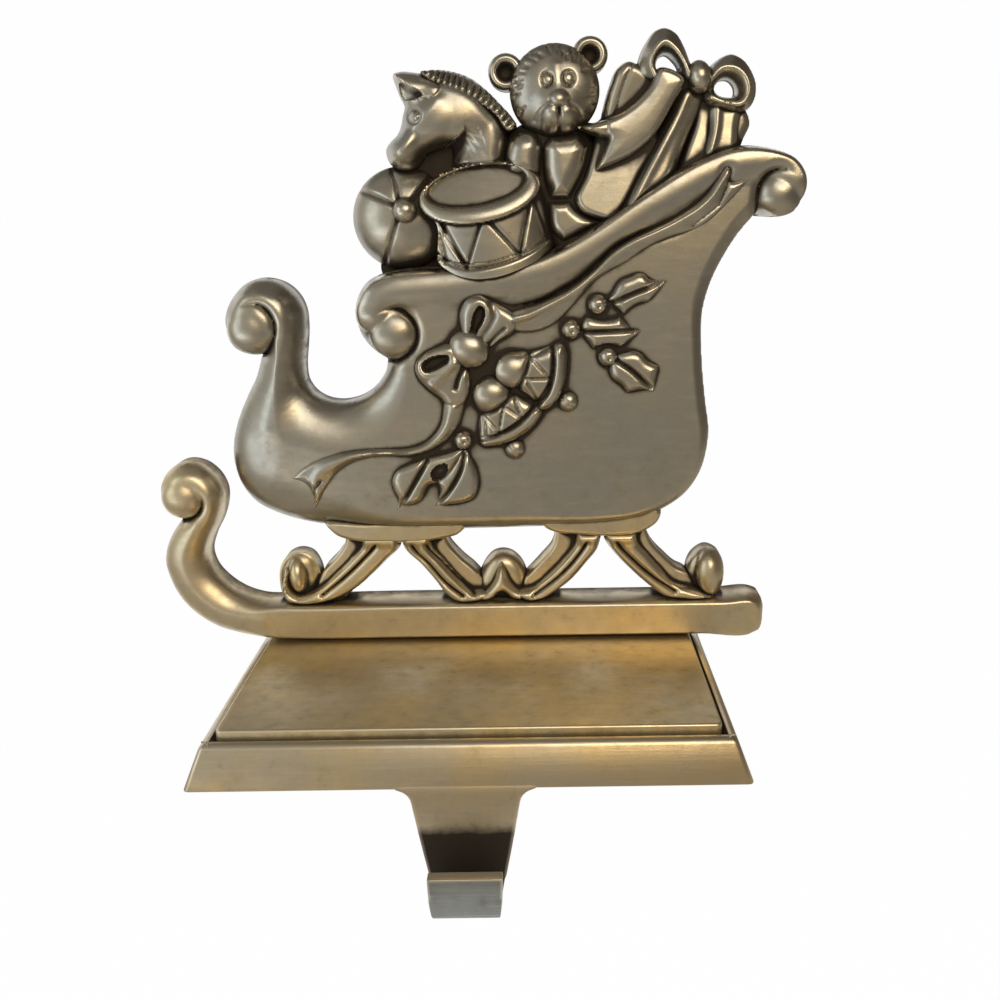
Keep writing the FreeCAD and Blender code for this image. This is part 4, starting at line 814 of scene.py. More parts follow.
GIFT_SIDE = [(30.4, 127.0), (32.2, 130.1), (33.0, 133.4), (34.3, 137.8), (36.2, 141.9), (38.8, 143.3), (41.2, 142.4),
             (44.8, 139.8), (50.0, 136.6), (44.0, 130.0), (36.0, 126.0)]
GIFT_FRONT = [(32.4, 130.6), (30.6, 126.0), (28.0, 117.9), (25.6, 111.8), (26.6, 109.8), (31.5, 107.3), (35.1, 106.4),
              (37.9, 110.0), (42.0, 117.6), (46.4, 126.0), (43.0, 130.0)]
GIFT_STRAP = [(50.6, 137.6), (48.2, 131.9), (45.0, 126.2), (41.2, 118.8), (37.6, 112.0), (34.8, 105.6), (41.4, 110.0),
              (49.4, 116.6), (51.4, 122.1), (53.6, 127.7), (55.6, 132.1), (57.0, 136.1), (54.0, 138.0)]
GIFT_END = [(55.4, 135.6), (58.6, 134.9), (58.4, 128.8), (57.0, 119.8), (49.6, 116.0), (52.0, 123.2), (54.0, 128.8)]
GIFT_END_STRAP = [(57.5, 134.9), (61.0, 133.9), (65.0, 132.9), (64.9, 128.0), (64.0, 122.2), (59.0, 121.0),
                  (55.4, 119.6), (56.9, 127.6)]
GIFT_CORNER = [(62.0, 133.0), (66.4, 132.9), (68.1, 129.1), (66.8, 126.0), (65.4, 122.8), (60.0, 120.0), (58.0, 126.0)]
GIFT_TAIL = [(45.4, 141.4), (42.9, 137.0), (40.0, 134.0), (35.9, 131.3), (31.7, 129.8), (26.4, 128.6, 1),
             (29.9, 127.0), (33.6, 125.8, 1), (32.4, 122.9), (30.6, 118.6, 1), (35.3, 120.2), (39.9, 122.4),
             (44.1, 125.9), (46.8, 129.8), (49.0, 133.7), (51.6, 138.6)]
BOW_LEFT = [(40.6, 139.4), (41.2, 144.0), (42.7, 147.3), (44.7, 149.7), (46.9, 150.4), (49.4, 149.4), (51.5, 146.4),
            (52.8, 143.3), (54.0, 140.2), (53.4, 136.2), (50.2, 135.8), (46.7, 137.2), (43.5, 138.2)]
BOW_LEFT_HOLE = [(45.0, 141.6), (45.5, 143.7), (47.0, 144.6), (48.9, 143.4), (50.3, 141.0), (49.3, 139.7),
                 (46.8, 140.5)]
BOW_LEFT_CREST = [(44.6, 139.6), (43.7, 142.6), (44.9, 145.6), (46.7, 147.0), (48.9, 145.6), (51.0, 142.6),
                  (52.6, 139.6)]
BOW_RIGHT = [(56.0, 138.4), (57.7, 141.7), (60.1, 143.7), (62.6, 144.5), (65.4, 143.3), (67.5, 140.7), (68.7, 137.4),
             (68.4, 134.4), (66.8, 132.1), (64.2, 131.4), (60.9, 132.1), (57.2, 133.0), (55.6, 135.2)]
BOW_RIGHT_HOLE = [(58.8, 136.9), (60.0, 138.6), (62.1, 138.8), (63.7, 137.1), (63.6, 135.2), (61.3, 135.0),
                  (59.4, 135.7)]
BOW_RIGHT_CREST = [(57.4, 138.8), (60.2, 141.2), (63.2, 141.0), (65.6, 138.8), (66.3, 136.0), (65.0, 133.5),
                   (61.6, 133.4), (57.9, 134.6)]


def bow_depth(p, outline, hole, crest):
    rim = np.minimum(p.edge(outline), -p.edge(hole))
    return 6.6 + 2.6 * crown(rim, 1.7) + 2.2 * soft(p.line(crest), 1.4)


def gift_tail_depth(p):
    edge = p.edge(GIFT_TAIL)
    depth = 9.6 + 2.2 * crown(edge, 1.6) + 0.9 * crown(np.maximum(edge, 0), 5.0)
    folded = step(p.x, 34.4, 31.8)
    return depth - folded * 1.4 * notch(p.zigzag([(33.4, 126.0), (33.6, 131.4)]), 1.6)


def gift_pieces():
    add_relief("gift_corner", [GIFT_CORNER], lambda p: 3.4 + 3.4 * crown(p.edge(GIFT_CORNER), 2.4))
    add_relief("gift_side", [GIFT_SIDE], lambda p: 5.0 + 3.4 * crown(p.edge(GIFT_SIDE), 2.2) + 1.2 * step(
        p.z - 0.55 * p.x, 108, 122) - 0.6 * notch(p.line([(35.4, 131.4), (37.0, 136.6), (39.4, 142.6)]), 1.2))
    add_relief("gift_front", [GIFT_FRONT], lambda p: 5.6 + (3.9 - 0.09 * (p.z - 118)) * crown(
        p.edge(GIFT_FRONT), 1.9))
    add_relief("gift_end", [GIFT_END], lambda p: 5.4 + (3.2 - 0.10 * (p.z - 126)) * crown(p.edge(GIFT_END), 1.6))
    add_relief("gift_end_strap", [GIFT_END_STRAP], lambda p: 5.6 + (3.6 - 0.10 * (p.z - 127)) * crown(
        p.edge(GIFT_END_STRAP), 2.4)
               + 0.8 * soft(p.line([(59.6, 133.4), (59.2, 128.0), (57.8, 122.0)]), 1.0))
    add_relief("gift_strap", [GIFT_STRAP], lambda p: 6.6 + (3.9 - 0.10 * (p.z - 120)) * crown(p.edge(GIFT_STRAP), 3.4)
               + 0.8 * soft(p.line([(52.7, 136.4), (49.5, 129.9), (45.9, 123.2), (42.0, 116.5), (38.4, 109.6)]), 1.3))
    add_relief("gift_tail", [GIFT_TAIL], gift_tail_depth, floor=4.0)
    for name, outline, hole, crest in (("left", BOW_LEFT, BOW_LEFT_HOLE, BOW_LEFT_CREST),
                                       ("right", BOW_RIGHT, BOW_RIGHT_HOLE, BOW_RIGHT_CREST)):
        add_relief("gift_bow_" + name, [outline], lambda p, o=outline, h=hole, c=crest: bow_depth(p, o, h, c),
                   holes=[hole], floor=2.0)
    knot = ellipse(54.9, 139.3, 2.9, 3.7, 8)
    add_relief("gift_knot", [knot], lambda p: 9.0 + 4.2 * p.ball(54.9, 139.3, 3.0, 3.8, 8), floor=3.0)


# Tray, plate and hook

def start_block(name, low, high):
    """Block between two corners, given in mm."""
    bpy.ops.object.select_all(action="DESELECT")
    bpy.ops.mesh.primitive_cube_add(size=1, location=[(a + b) / 2 * MM for a, b in zip(low, high)],
                                    scale=[(b - a) * MM for a, b in zip(low, high)])
    bpy.ops.object.transform_apply(location=True, rotation=True, scale=True)
    piece = bpy.context.object
    piece.name = name
    piece.data.name = name
    return piece


def choose(piece, kind, test):
    """In edit mode, select the faces or edges whose corners, in mm, pass a test."""
    bpy.ops.mesh.select_mode(type=kind)
    bpy.ops.mesh.select_all(action="DESELECT")
    mesh = bmesh.from_edit_mesh(piece.data)
    for part in (mesh.faces if kind == "FACE" else mesh.edges):
        if test([vertex.co / MM for vertex in part.verts]):
            part.select_set(True)
    bmesh.update_edit_mesh(piece.data)


def drill(piece, radius, low, high):
    """Cut a hole for each screw, between two heights in mm."""
    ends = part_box("figure_screws")
    head = (ends[1][1] - ends[0][1]) / 2
    for x in (ends[0][0] + head, ends[1][0] - head):
        bpy.ops.object.select_all(action="DESELECT")
        bpy.ops.mesh.primitive_cylinder_add(vertices=40, radius=radius * MM, depth=(high - low) * MM,
                                            location=(x, (ends[0][1] + ends[1][1]) / 2, (low + high) / 2 * MM))
        cutter = bpy.context.object
        bpy.ops.object.transform_apply(location=True, rotation=True, scale=True)
        bpy.ops.object.select_all(action="DESELECT")
        piece.select_set(True)
        bpy.context.view_layer.objects.active = piece
        cut = piece.modifiers.new("hole", "BOOLEAN")
        cut.operation = "DIFFERENCE"
        cut.solver = "EXACT"
        cut.object = cutter
        bpy.ops.object.modifier_apply(modifier=cut.name)
        bpy.data.objects.remove(cutter)


def mark_edges(piece, patina_and_shade, small=150.0):
    """Give a piece's rounded edges their wear, and its points the patina and painted shade that a test of their place
    gives.
    """
    mesh = piece.data
    largest = np.zeros(len(mesh.vertices))
    for face in mesh.polygons:
        for index in face.vertices:
            largest[index] = max(largest[index], face.area / MM ** 2)
    places = np.empty(len(mesh.vertices) * 3, dtype=np.float32)
    mesh.vertices.foreach_get("co", places)
    x, y, z = (places.reshape(-1, 3) / MM).T
    for name, values in (("wear", np.where(largest < small, 0.7, 0.0)), ("patina_and_shade", patina_and_shade(x, y, z))):
        mesh.attributes.new(name, "FLOAT", "POINT").data.foreach_set("value", values.astype(np.float32))


def tray_piece(sizes):
    """Flared tray with a soft rim, a bed for the plate and a pocket for the felt."""
    half_y = TRAY[1][1]
    half_x = half_y + (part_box("weight_plate")[1][0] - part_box("weight_plate")[1][1]) / MM
    foot, top, lean = sizes.tray_foot / MM, sizes.tray_top / MM, sizes.tray_lean / MM
    soft_rim = sizes.rim_round / MM
    piece = start_block("tray", (-half_x, -half_y, foot), (half_x, half_y, top))
    bpy.ops.object.mode_set(mode="EDIT")
    choose(piece, "FACE", lambda corners: min(c.z for c in corners) > top - 0.01)
    bpy.ops.transform.resize(value=(1 - lean / half_x, 1 - lean / half_y, 1), center_override=(0, 0, 0))
    choose(piece, "EDGE", lambda corners: abs(corners[0].z - corners[1].z) > 5)
    bpy.ops.mesh.bevel(offset=sizes.corner_round, segments=3, affect="EDGES")
    choose(piece, "EDGE", lambda corners: min(c.z for c in corners) > top - 0.01)
    bpy.ops.mesh.bevel(offset=sizes.rim_round, segments=5, affect="EDGES")
    choose(piece, "EDGE", lambda corners: max(c.z for c in corners) < foot + 0.01)
    bpy.ops.mesh.bevel(offset=0.35 * MM, segments=2, affect="EDGES")
    pocket = PLATE[1][0] + sizes.groove / MM
    choose(piece, "FACE", lambda corners: min(c.z for c in corners) > top - 0.01)
    bpy.ops.mesh.inset(thickness=(half_x - lean - soft_rim - pocket) * MM)
    bpy.ops.mesh.extrude_region_move(TRANSFORM_OT_translate={"value": (0, 0, sizes.tray_bed - sizes.tray_top)})
    choose(piece, "EDGE", lambda corners: min(c.z for c in corners) > top - 0.01
           and max(abs(c.x) for c in corners) < pocket + 0.05)
    bpy.ops.mesh.bevel(offset=0.25 * MM, segments=2, affect="EDGES")
    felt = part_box("felt_pad")
    choose(piece, "FACE", lambda corners: max(c.z for c in corners) < foot + 0.01)
    bpy.ops.mesh.inset(thickness=(half_x - 0.35 - felt[1][0] / MM - 0.3) * MM)
    bpy.ops.mesh.extrude_region_move(TRANSFORM_OT_translate={"value": (0, 0, felt[1][2] - sizes.tray_foot)})
    bpy.ops.mesh.select_all(action="SELECT")
    bpy.ops.mesh.normals_make_consistent(inside=False)
    bpy.ops.object.mode_set(mode="OBJECT")
    drill(piece, 3.95, -2.0, 3.8)
    drill(piece, 2.25, 2.0, 9.0)
    bpy.ops.object.shade_smooth_by_angle(angle=math.radians(32))
    # painted shade: the pocket walls and bed in the groove between plate and rim are painted dark
    mark_edges(piece, lambda x, y, z: np.where((z < top - 0.1) & (z > 5.5) & (np.abs(x) < pocket + 0.1)
                                               & (np.abs(y) < PLATE[1][1] + 1.3), 1.0, 0.0))
    dress(piece, "base_casting")
    return piece


def plate_piece(sizes):
    """Brushed plate with a soft upper edge."""
    piece = start_block("plate", *PLATE)
    bpy.ops.object.mode_set(mode="EDIT")
    choose(piece, "EDGE", lambda corners: abs(corners[0].z - corners[1].z) > 5)
    bpy.ops.mesh.bevel(offset=1.5 * MM, segments=5, affect="EDGES")
    choose(piece, "EDGE", lambda corners: min(c.z for c in corners) > PLATE[1][2] - 0.01)
    bpy.ops.mesh.bevel(offset=sizes.plate_edge, segments=4, affect="EDGES")
    bpy.ops.object.mode_set(mode="OBJECT")
    drill(piece, 2.25, 2.0, 16.0)
    bpy.ops.object.shade_smooth_by_angle(angle=math.radians(32))
    # painted shade: the plate's sides down in the tray's pocket are painted dark
    mark_edges(piece, lambda x, y, z: np.where(z < 8.0, 0.9, 0.0))
    dress(piece, "weight_plate")
    return piece


def hook_piece(sizes):
    """Hook: a strip that leaves the tray's wall, runs down, turns forward and up, and is given its thickness."""
    thick, throat = sizes.hook_thickness / MM, sizes.hook_throat / MM
    front, low = -TRAY[1][1], TRAY[0][2]
    lean = sizes.tray_lean / (sizes.tray_top - sizes.tray_foot)
    foot = sizes.tray_foot / MM
    bend, toe = 2.4, 0.7
    tongue = front - 0.6
    floor = low + thick
    path = []
    for z in np.linspace(foot + 2.6, foot, 8):
        path.append((front + lean * (z - foot) + 0.30 * step((z - foot) / 2.6, 0.1, 1.0) - 0.02, z))
    for share in np.linspace(0.06, 1, 24):
        z = foot - 7.5 * share
        path.append((front - 0.02 - 0.6 * (1 - (1 - share) ** 4), z))
    for z in np.linspace(foot - 8.3, floor + bend, 22):
        path.append((tongue - 0.02, z))
    for angle in np.radians(np.linspace(8, 90, 9)):
        path.append((tongue - 0.02 - bend * (1 - math.cos(angle)), floor + bend - bend * math.sin(angle)))
    far = tongue - throat
    for angle in np.radians(np.linspace(0, 90, 9)):
        path.append((far + toe * (1 - math.sin(angle)), floor + toe - toe * math.cos(angle)))
    for z in np.linspace(floor + toe + 0.4, low + sizes.lip_rise / MM, 12):
        path.append((far, z))
    path = np.array(path)
    turn = int(np.argmin(path[:, 1]))
    heights = (-26.0, -23.2, -19.7, -15.0, -9.25, -2.6, -1.6, -0.9, -0.3, 0.2, 0.5, 1.0, 3.4)
    widths = (7.9, 8.1, 8.8, 9.7, 10.75, 11.9, 12.2, 12.7, 13.4, 14.4, 15.4, 15.9, 16.2)
    half = np.interp(path[:, 1], heights, widths)
    half[turn:] = np.interp(path[turn:, 1], (floor, floor + 0.8, floor + bend, -15.0), (7.3, 7.7, 7.9, 8.1))
    half[turn - 9:turn] = np.linspace(half[turn - 9], half[turn], 9)
    bpy.ops.object.select_all(action="DESELECT")
    across = 24
    bpy.ops.mesh.primitive_grid_add(x_subdivisions=across, y_subdivisions=len(path) - 1, size=1)
    piece = bpy.context.object
    piece.name = piece.data.name = "hook"
    centre = -0.7
    for vertex in piece.data.vertices:
        row = int(round((0.5 - vertex.co.y) * (len(path) - 1)))
        y, z = path[row]
        vertex.co = ((centre + 2 * vertex.co.x * half[row]) * MM, y * MM, z * MM)
    bpy.ops.object.mode_set(mode="EDIT")
    bpy.ops.mesh.select_all(action="SELECT")
    bpy.ops.mesh.normals_make_consistent(inside=False)
    bpy.ops.object.mode_set(mode="OBJECT")
    if sum(face.normal.y for face in piece.data.polygons if face.center.z > -0.015) > 0:
        bpy.ops.object.mode_set(mode="EDIT")
        bpy.ops.mesh.flip_normals()
        bpy.ops.object.mode_set(mode="OBJECT")
    wall = piece.modifiers.new("wall", "SOLIDIFY")
    wall.thickness = thick * MM
    wall.offset = -1
    wall.use_even_offset = True
    bpy.ops.object.modifier_apply(modifier=wall.name)
    edges = piece.modifiers.new("edges", "BEVEL")
    edges.width = 0.5 * MM
    edges.segments = 3
    edges.limit_method = "ANGLE"
    edges.angle_limit = math.radians(50)
    bpy.ops.object.modifier_apply(modifier=edges.name)
    bpy.ops.object.shade_smooth_by_angle(angle=math.radians(40))
    mesh = piece.data
    places = np.empty(len(mesh.vertices) * 3, dtype=np.float32)
    mesh.vertices.foreach_get("co", places)
    x, y, z = (places.reshape(-1, 3) / MM).T
    lip = y < tongue - throat / 2
    rim = np.interp(z, heights, widths) - np.abs(x - centre)
    rim = np.where(lip, 8.0 - np.abs(x - centre), rim)
    wear = np.where((rim < 0.35) & (z < 0), 0.6, 0.0) + np.where(lip & (z > low + sizes.lip_rise / MM - 0.5), 0.9, 0.0)
    # painted shade and painted reflection: the inside of the hook, low on the tongue and round to the lip's back, is
    # painted dark
    patina_and_shade = 1.0 * step(-z, 7.0, 12.5) * np.where(y > far - 0.4, 1.0, 0.0) * np.where(y > front + 1.5, 0.3, 1.0)
    bare = np.where(y < far - 0.6, 1.0, 0.0)
    for name, values in (("wear", np.clip(wear, 0, 1)), ("patina_and_shade", patina_and_shade), ("bare", bare)):
        mesh.attributes.new(name, "FLOAT", "POINT").data.foreach_set("value", values.astype(np.float32))
    dress(piece, "base_casting")
    return piece


# Hollows, where the dark patina and painted shade lie

def gaussian_weights(sigma):
    reach = int(math.ceil(3 * sigma))
    weights = np.exp(-0.5 * (np.arange(-reach, reach + 1) / sigma) ** 2)
    return weights / weights.sum()


def blurred(field, sigma):
    """A field smoothed along both axes."""
    weights = gaussian_weights(sigma)
    reach = len(weights) // 2
    for axis in (0, 1):
        padded = np.pad(field, [(reach, reach) if a == axis else (0, 0) for a in (0, 1)], mode="edge")
        total = np.zeros_like(field)
        for index, weight in enumerate(weights):
            window = [slice(None), slice(None)]
            window[axis] = slice(index, index + field.shape[axis])
            total += weight * padded[tuple(window)]
        field = total
    return field


def mark_hollows(cell=0.42):
    """Give each relief's points their share of patina and of wear, from how far they lie below what is round them. The
    patina share is also painted shade: it darkens creases and wide rings round raised pieces, where shade falls.
    """
    low = np.array((-86.0, -4.0))
    shape = (int(172 / cell), int(160 / cell))
    height = np.full(shape, -1.0)
    points = []
    for piece in reliefs:
        flat = np.empty(len(piece.data.vertices) * 3, dtype=np.float32)
        piece.data.vertices.foreach_get("co", flat)
        flat = flat.reshape(-1, 3) / MM
        x, depth, z = flat[:, 0], FLAT_BACK - flat[:, 1], flat[:, 2] - RUNNER_FOOT
        points.append((x, depth, z))
        spread = 1 if piece.name == "toy_backing" else 0
        column = np.clip(((x - low[0]) / cell).astype(int), 1, shape[0] - 2)
        row = np.clip(((z - low[1]) / cell).astype(int), 1, shape[1] - 2)
        for shift_x in range(-spread, spread + 1):
            for shift_z in range(-spread, spread + 1):
                np.maximum.at(height, (column + shift_x, row + shift_z), depth)
    solid = (height > 0).astype(float)
    height = np.where(height > 0, height, 0.0)
    smooth = [blurred(height, sigma / cell) for sigma in (0.5, 1.3, 3.4)]
    smooth += [smooth[0] / np.maximum(blurred(solid, 0.5 / cell), 1e-3), smooth[1] / np.maximum(
        blurred(solid, 1.3 / cell), 1e-3)]
    for index, (piece, (x, depth, z)) in enumerate(zip(reliefs, points)):
        u = np.clip((x - low[0]) / cell - 0.5, 0, shape[0] - 2)
        v = np.clip((z - low[1]) / cell - 0.5, 0, shape[1] - 2)
        i, j = u.astype(int), v.astype(int)
        fu, fv = u - i, v - j
        near, middle, wide, near_inside, middle_inside = [
            f[i, j] * (1 - fu) * (1 - fv) + f[i + 1, j] * fu * (1 - fv) + f[i, j + 1] * (1 - fu) * fv
            + f[i + 1, j + 1] * fu * fv - depth for f in smooth]
        front = depth > BACK_STEP * index + 0.01
        # patina with painted shade: dark in small hollows and in wide rings round raised pieces
        patina_and_shade = 0.9 * (near - 0.2) + 0.65 * np.maximum(middle - 0.08, 0) + 0.34 * np.maximum(wide - 0.12, 0)
        patina_and_shade = np.clip(patina_and_shade, 0, 1)
        # painted shade: the backing seen between the toys is painted dark all through
        if piece.name == "toy_backing":
            patina_and_shade = np.maximum(patina_and_shade, 0.95)
        wear = np.clip(-1.0 * (near_inside + 0.02) - 0.35 * (middle_inside + 0.05), 0, 1)
        for name, values, back in (("patina_and_shade", patina_and_shade, 0.5), ("wear", wear, 0.0)):
            attribute = piece.data.attributes.new(name, "FLOAT", "POINT")
            attribute.data.foreach_set("value", np.where(front, values, back).astype(np.float32))


# Finishes

def socket(tree, kind, name, direction, default=None):
    made = tree.interface.new_socket(name=name, in_out=direction, socket_type=kind)
    if default is not None:
        made.default_value = default


class Graph:
    """Short way to add and join shader nodes."""

    def __init__(self, tree):
        self.tree = tree

    def add(self, kind, **settings):
        node = self.tree.nodes.new(kind)
        for name, value in settings.items():
            if hasattr(node, name):
                setattr(node, name, value)
            elif isinstance(value, bpy.types.NodeSocket):
                self.tree.links.new(value, node.inputs[name])
            else:
                node.inputs[name].default_value = value
        return node

    def join(self, output, target):
        self.tree.links.new(output, target)

    def sum(self, operation, first, second, clamp=False):
        node = self.tree.nodes.new("ShaderNodeMath")
        node.operation = operation
        node.use_clamp = clamp
        for index, value in enumerate((first, second)):
            if isinstance(value, bpy.types.NodeSocket):
                self.join(value, node.inputs[index])
            else:
                node.inputs[index].default_value = value
        return node.outputs[0]

    def blend(self, share, first, second):
        node = self.tree.nodes.new("ShaderNodeMix")
        node.data_type = "RGBA"
        for index, value in ((0, share), (6, first), (7, second)):
            if isinstance(value, bpy.types.NodeSocket):
                self.join(value, node.inputs[index])
            else:
                node.inputs[index].default_value = value
        return node.outputs[2]

    def spread(self, value, low, high, to_low=0.0, to_high=1.0):
        node = self.tree.nodes.new("ShaderNodeMapRange")
        self.join(value, node.inputs[0])
        for index, setting in enumerate((low, high, to_low, to_high)):
            node.inputs[index + 1].default_value = setting
        return node.outputs[0]

    def noise(self, vector, scale, detail=3.0, rough=0.55):
        node = self.tree.nodes.new("ShaderNodeTexNoise")
        self.join(vector, node.inputs["Vector"])
        node.inputs["Scale"].default_value = scale
        node.inputs["Detail"].default_value = detail
        node.inputs["Roughness"].default_value = rough
        return node.outputs[0]

    def stretched(self, vector, scale, turn=(0, 0, 0)):
        node = self.tree.nodes.new("ShaderNodeMapping")
        self.join(vector, node.inputs["Vector"])
        node.inputs["Scale"].default_value = scale
        node.inputs["Rotation"].default_value = turn
        return node.outputs[0]


def antique_group():
    """Colour, roughness, metalness and relief of rubbed brass with dark patina and painted shade in its hollows."""
    group = bpy.data.node_groups.new("antique_metal", "ShaderNodeTree")
    for kind, name, default in (("NodeSocketVector", "Place", None), ("NodeSocketFloat", "Patina_and_shade", 0.0),
                                ("NodeSocketFloat", "Wear", 0.0), ("NodeSocketColor", "Metal", (0.5, 0.45, 0.37, 1)),
                                ("NodeSocketColor", "Warm", (0.55, 0.45, 0.28, 1)),
                                ("NodeSocketColor", "Dark", (0.035, 0.026, 0.018, 1)),
                                ("NodeSocketColor", "Rubbed", (0.80, 0.72, 0.58, 1)),
                                ("NodeSocketVector", "Brush", (12.0, 1.0, 60.0))):
        socket(group, kind, name, "INPUT", default)
    for kind, name in (("NodeSocketColor", "Colour"), ("NodeSocketFloat", "Roughness"),
                       ("NodeSocketFloat", "Metalness"), ("NodeSocketFloat", "Height")):
        socket(group, kind, name, "OUTPUT")
    g = Graph(group)
    given = g.add("NodeGroupInput")
    out = g.add("NodeGroupOutput")
    place = given.outputs["Place"]
    cloud = g.noise(place, 45.0, 4.0, 0.6)
    mottle = g.noise(place, 260.0, 5.0, 0.65)
    grain = g.noise(place, 2600.0, 2.0)
    scaled = g.add("ShaderNodeVectorMath", operation="MULTIPLY")
    g.join(place, scaled.inputs[0])
    g.join(given.outputs["Brush"], scaled.inputs[1])
    brush = g.noise(scaled.outputs[0], 38.0, 4.0, 0.6)
    metal = g.blend(g.spread(cloud, 0.42, 0.64), given.outputs["Metal"], given.outputs["Warm"])
    metal = g.blend(g.spread(mottle, 0.35, 0.75, 0.0, 0.16), metal, given.outputs["Dark"])
    metal = g.blend(g.spread(brush, 0.5, 0.8, 0.0, 0.18), metal, given.outputs["Rubbed"])
    # the patina input darkens the metal with real patina and painted shade alike
    ragged = g.sum("ADD", given.outputs["Patina_and_shade"], g.spread(mottle, 0.3, 0.7, -0.10, 0.10))
    patina_and_shade_share = g.spread(ragged, 0.04, 0.62)
    colour = g.blend(patina_and_shade_share, metal, given.outputs["Dark"])
    colour = g.blend(g.sum("MULTIPLY", given.outputs["Wear"], 0.55), colour, given.outputs["Rubbed"])
    g.join(colour, out.inputs["Colour"])
    rough = g.sum("ADD", g.spread(patina_and_shade_share, 0.0, 1.0, 0.30, 0.62), g.spread(mottle, 0.3, 0.7, -0.03, 0.06))
    rough = g.sum("SUBTRACT", rough, g.sum("MULTIPLY", given.outputs["Wear"], 0.08))
    g.join(rough, out.inputs["Roughness"])
    g.join(g.spread(patina_and_shade_share, 0.5, 1.0, 1.0, 0.55), out.inputs["Metalness"])
    height = g.sum("ADD", g.sum("MULTIPLY", brush, 0.5), g.sum("MULTIPLY", grain, 0.3))
    height = g.sum("ADD", height, g.sum("MULTIPLY", mottle, 0.5))
    g.join(height, out.inputs["Height"])
    return group


def metal_finish(name, group, metal, warm, brush, rough=0.0, bump=0.06, bare=None):
    """Brass finish with patina, painted shade and wear from the piece's own attributes. bare is the colour of
    rubbed-through metal.
    """
    colours = bpy.context.scene.holder_finishes
    made = bpy.data.materials.new(name)
    made.use_nodes = True
    g = Graph(made.node_tree)
    shader = made.node_tree.nodes["Principled BSDF"]
    finish = g.add("ShaderNodeGroup", node_tree=group)
    place = g.add("ShaderNodeTexCoord").outputs["Object"]
    g.join(place, finish.inputs["Place"])
    for target, attribute in (("Patina_and_shade", "patina_and_shade"), ("Wear", "wear")):
        g.join(g.add("ShaderNodeAttribute", attribute_name=attribute).outputs["Fac"], finish.inputs[target])
    for target, colour in (("Metal", metal), ("Warm", warm)):
        if bare:
            share = g.add("ShaderNodeAttribute", attribute_name="bare").outputs["Fac"]
            g.join(g.blend(share, tuple(colour), tuple(bare)), finish.inputs[target])
        else:
            finish.inputs[target].default_value = colour
    finish.inputs["Dark"].default_value = colours.patina_and_shade
    finish.inputs["Rubbed"].default_value = colours.rubbed
    finish.inputs["Brush"].default_value = brush
    g.join(finish.outputs["Colour"], shader.inputs["Base Color"])
    g.join(g.sum("ADD", finish.outputs["Roughness"], rough), shader.inputs["Roughness"])
    g.join(finish.outputs["Metalness"], shader.inputs["Metallic"])
    relief = g.add("ShaderNodeBump")
    relief.inputs["Strength"].default_value = bump
    relief.inputs["Distance"].default_value = 0.001
    g.join(finish.outputs["Height"], relief.inputs["Height"])
    g.join(relief.outputs["Normal"], shader.inputs["Normal"])
    return made


def steel_finish(colour):
    """Turned steel of the screws, with faint rings of the tool and dull spots."""
    made = bpy.data.materials.new("turned_steel")
    made.use_nodes = True
    g = Graph(made.node_tree)
    shader = made.node_tree.nodes["Principled BSDF"]
    shader.inputs["Metallic"].default_value = 1.0
    place = g.add("ShaderNodeTexCoord").outputs["Object"]
    spots = g.noise(place, 420.0, 4.0, 0.6)
    fine = g.noise(g.stretched(place, (4.0, 4.0, 1.0)), 900.0, 2.0)
    g.join(g.blend(g.spread(spots, 0.45, 0.7), tuple(colour), (0.20, 0.19, 0.175, 1)), shader.inputs["Base Color"])
    g.join(g.spread(spots, 0.3, 0.7, 0.26, 0.5), shader.inputs["Roughness"])
    relief = g.add("ShaderNodeBump")
    relief.inputs["Strength"].default_value = 0.12
    relief.inputs["Distance"].default_value = 0.0004
    g.join(fine, relief.inputs["Height"])
    g.join(relief.outputs["Normal"], shader.inputs["Normal"])
    return made


def felt_finish(colour):
    """Pressed wool felt with short crossed fibres."""
    made = bpy.data.materials.new("pressed_felt")
    made.use_nodes = True
    g = Graph(made.node_tree)
    shader = made.node_tree.nodes["Principled BSDF"]
    shader.inputs["Sheen Weight"].default_value = 0.25
    shader.inputs["Sheen Roughness"].default_value = 0.6
    shader.inputs["Specular IOR Level"].default_value = 0.2
    place = g.add("ShaderNodeTexCoord").outputs["Object"]
    first = g.noise(g.stretched(place, (1.0, 6.0, 2.0), (0, 0, 0.5)), 700.0, 3.0, 0.7)
    second = g.noise(g.stretched(place, (6.0, 1.0, 2.0), (0, 0, 0.3)), 620.0, 3.0, 0.7)
    fibre = g.sum("ADD", g.sum("MULTIPLY", first, 0.5), g.sum("MULTIPLY", second, 0.5))
    pale = tuple(min(1.0, 2.4 * value) for value in colour[:3]) + (1,)
    g.join(g.blend(g.spread(fibre, 0.38, 0.66), tuple(colour), pale), shader.inputs["Base Color"])
    g.join(g.spread(fibre, 0.3, 0.7, 0.98, 0.88), shader.inputs["Roughness"])
    relief = g.add("ShaderNodeBump")
    relief.inputs["Strength"].default_value = 0.5
    relief.inputs["Distance"].default_value = 0.0006
    g.join(fibre, relief.inputs["Height"])
    g.join(relief.outputs["Normal"], shader.inputs["Normal"])
    return made


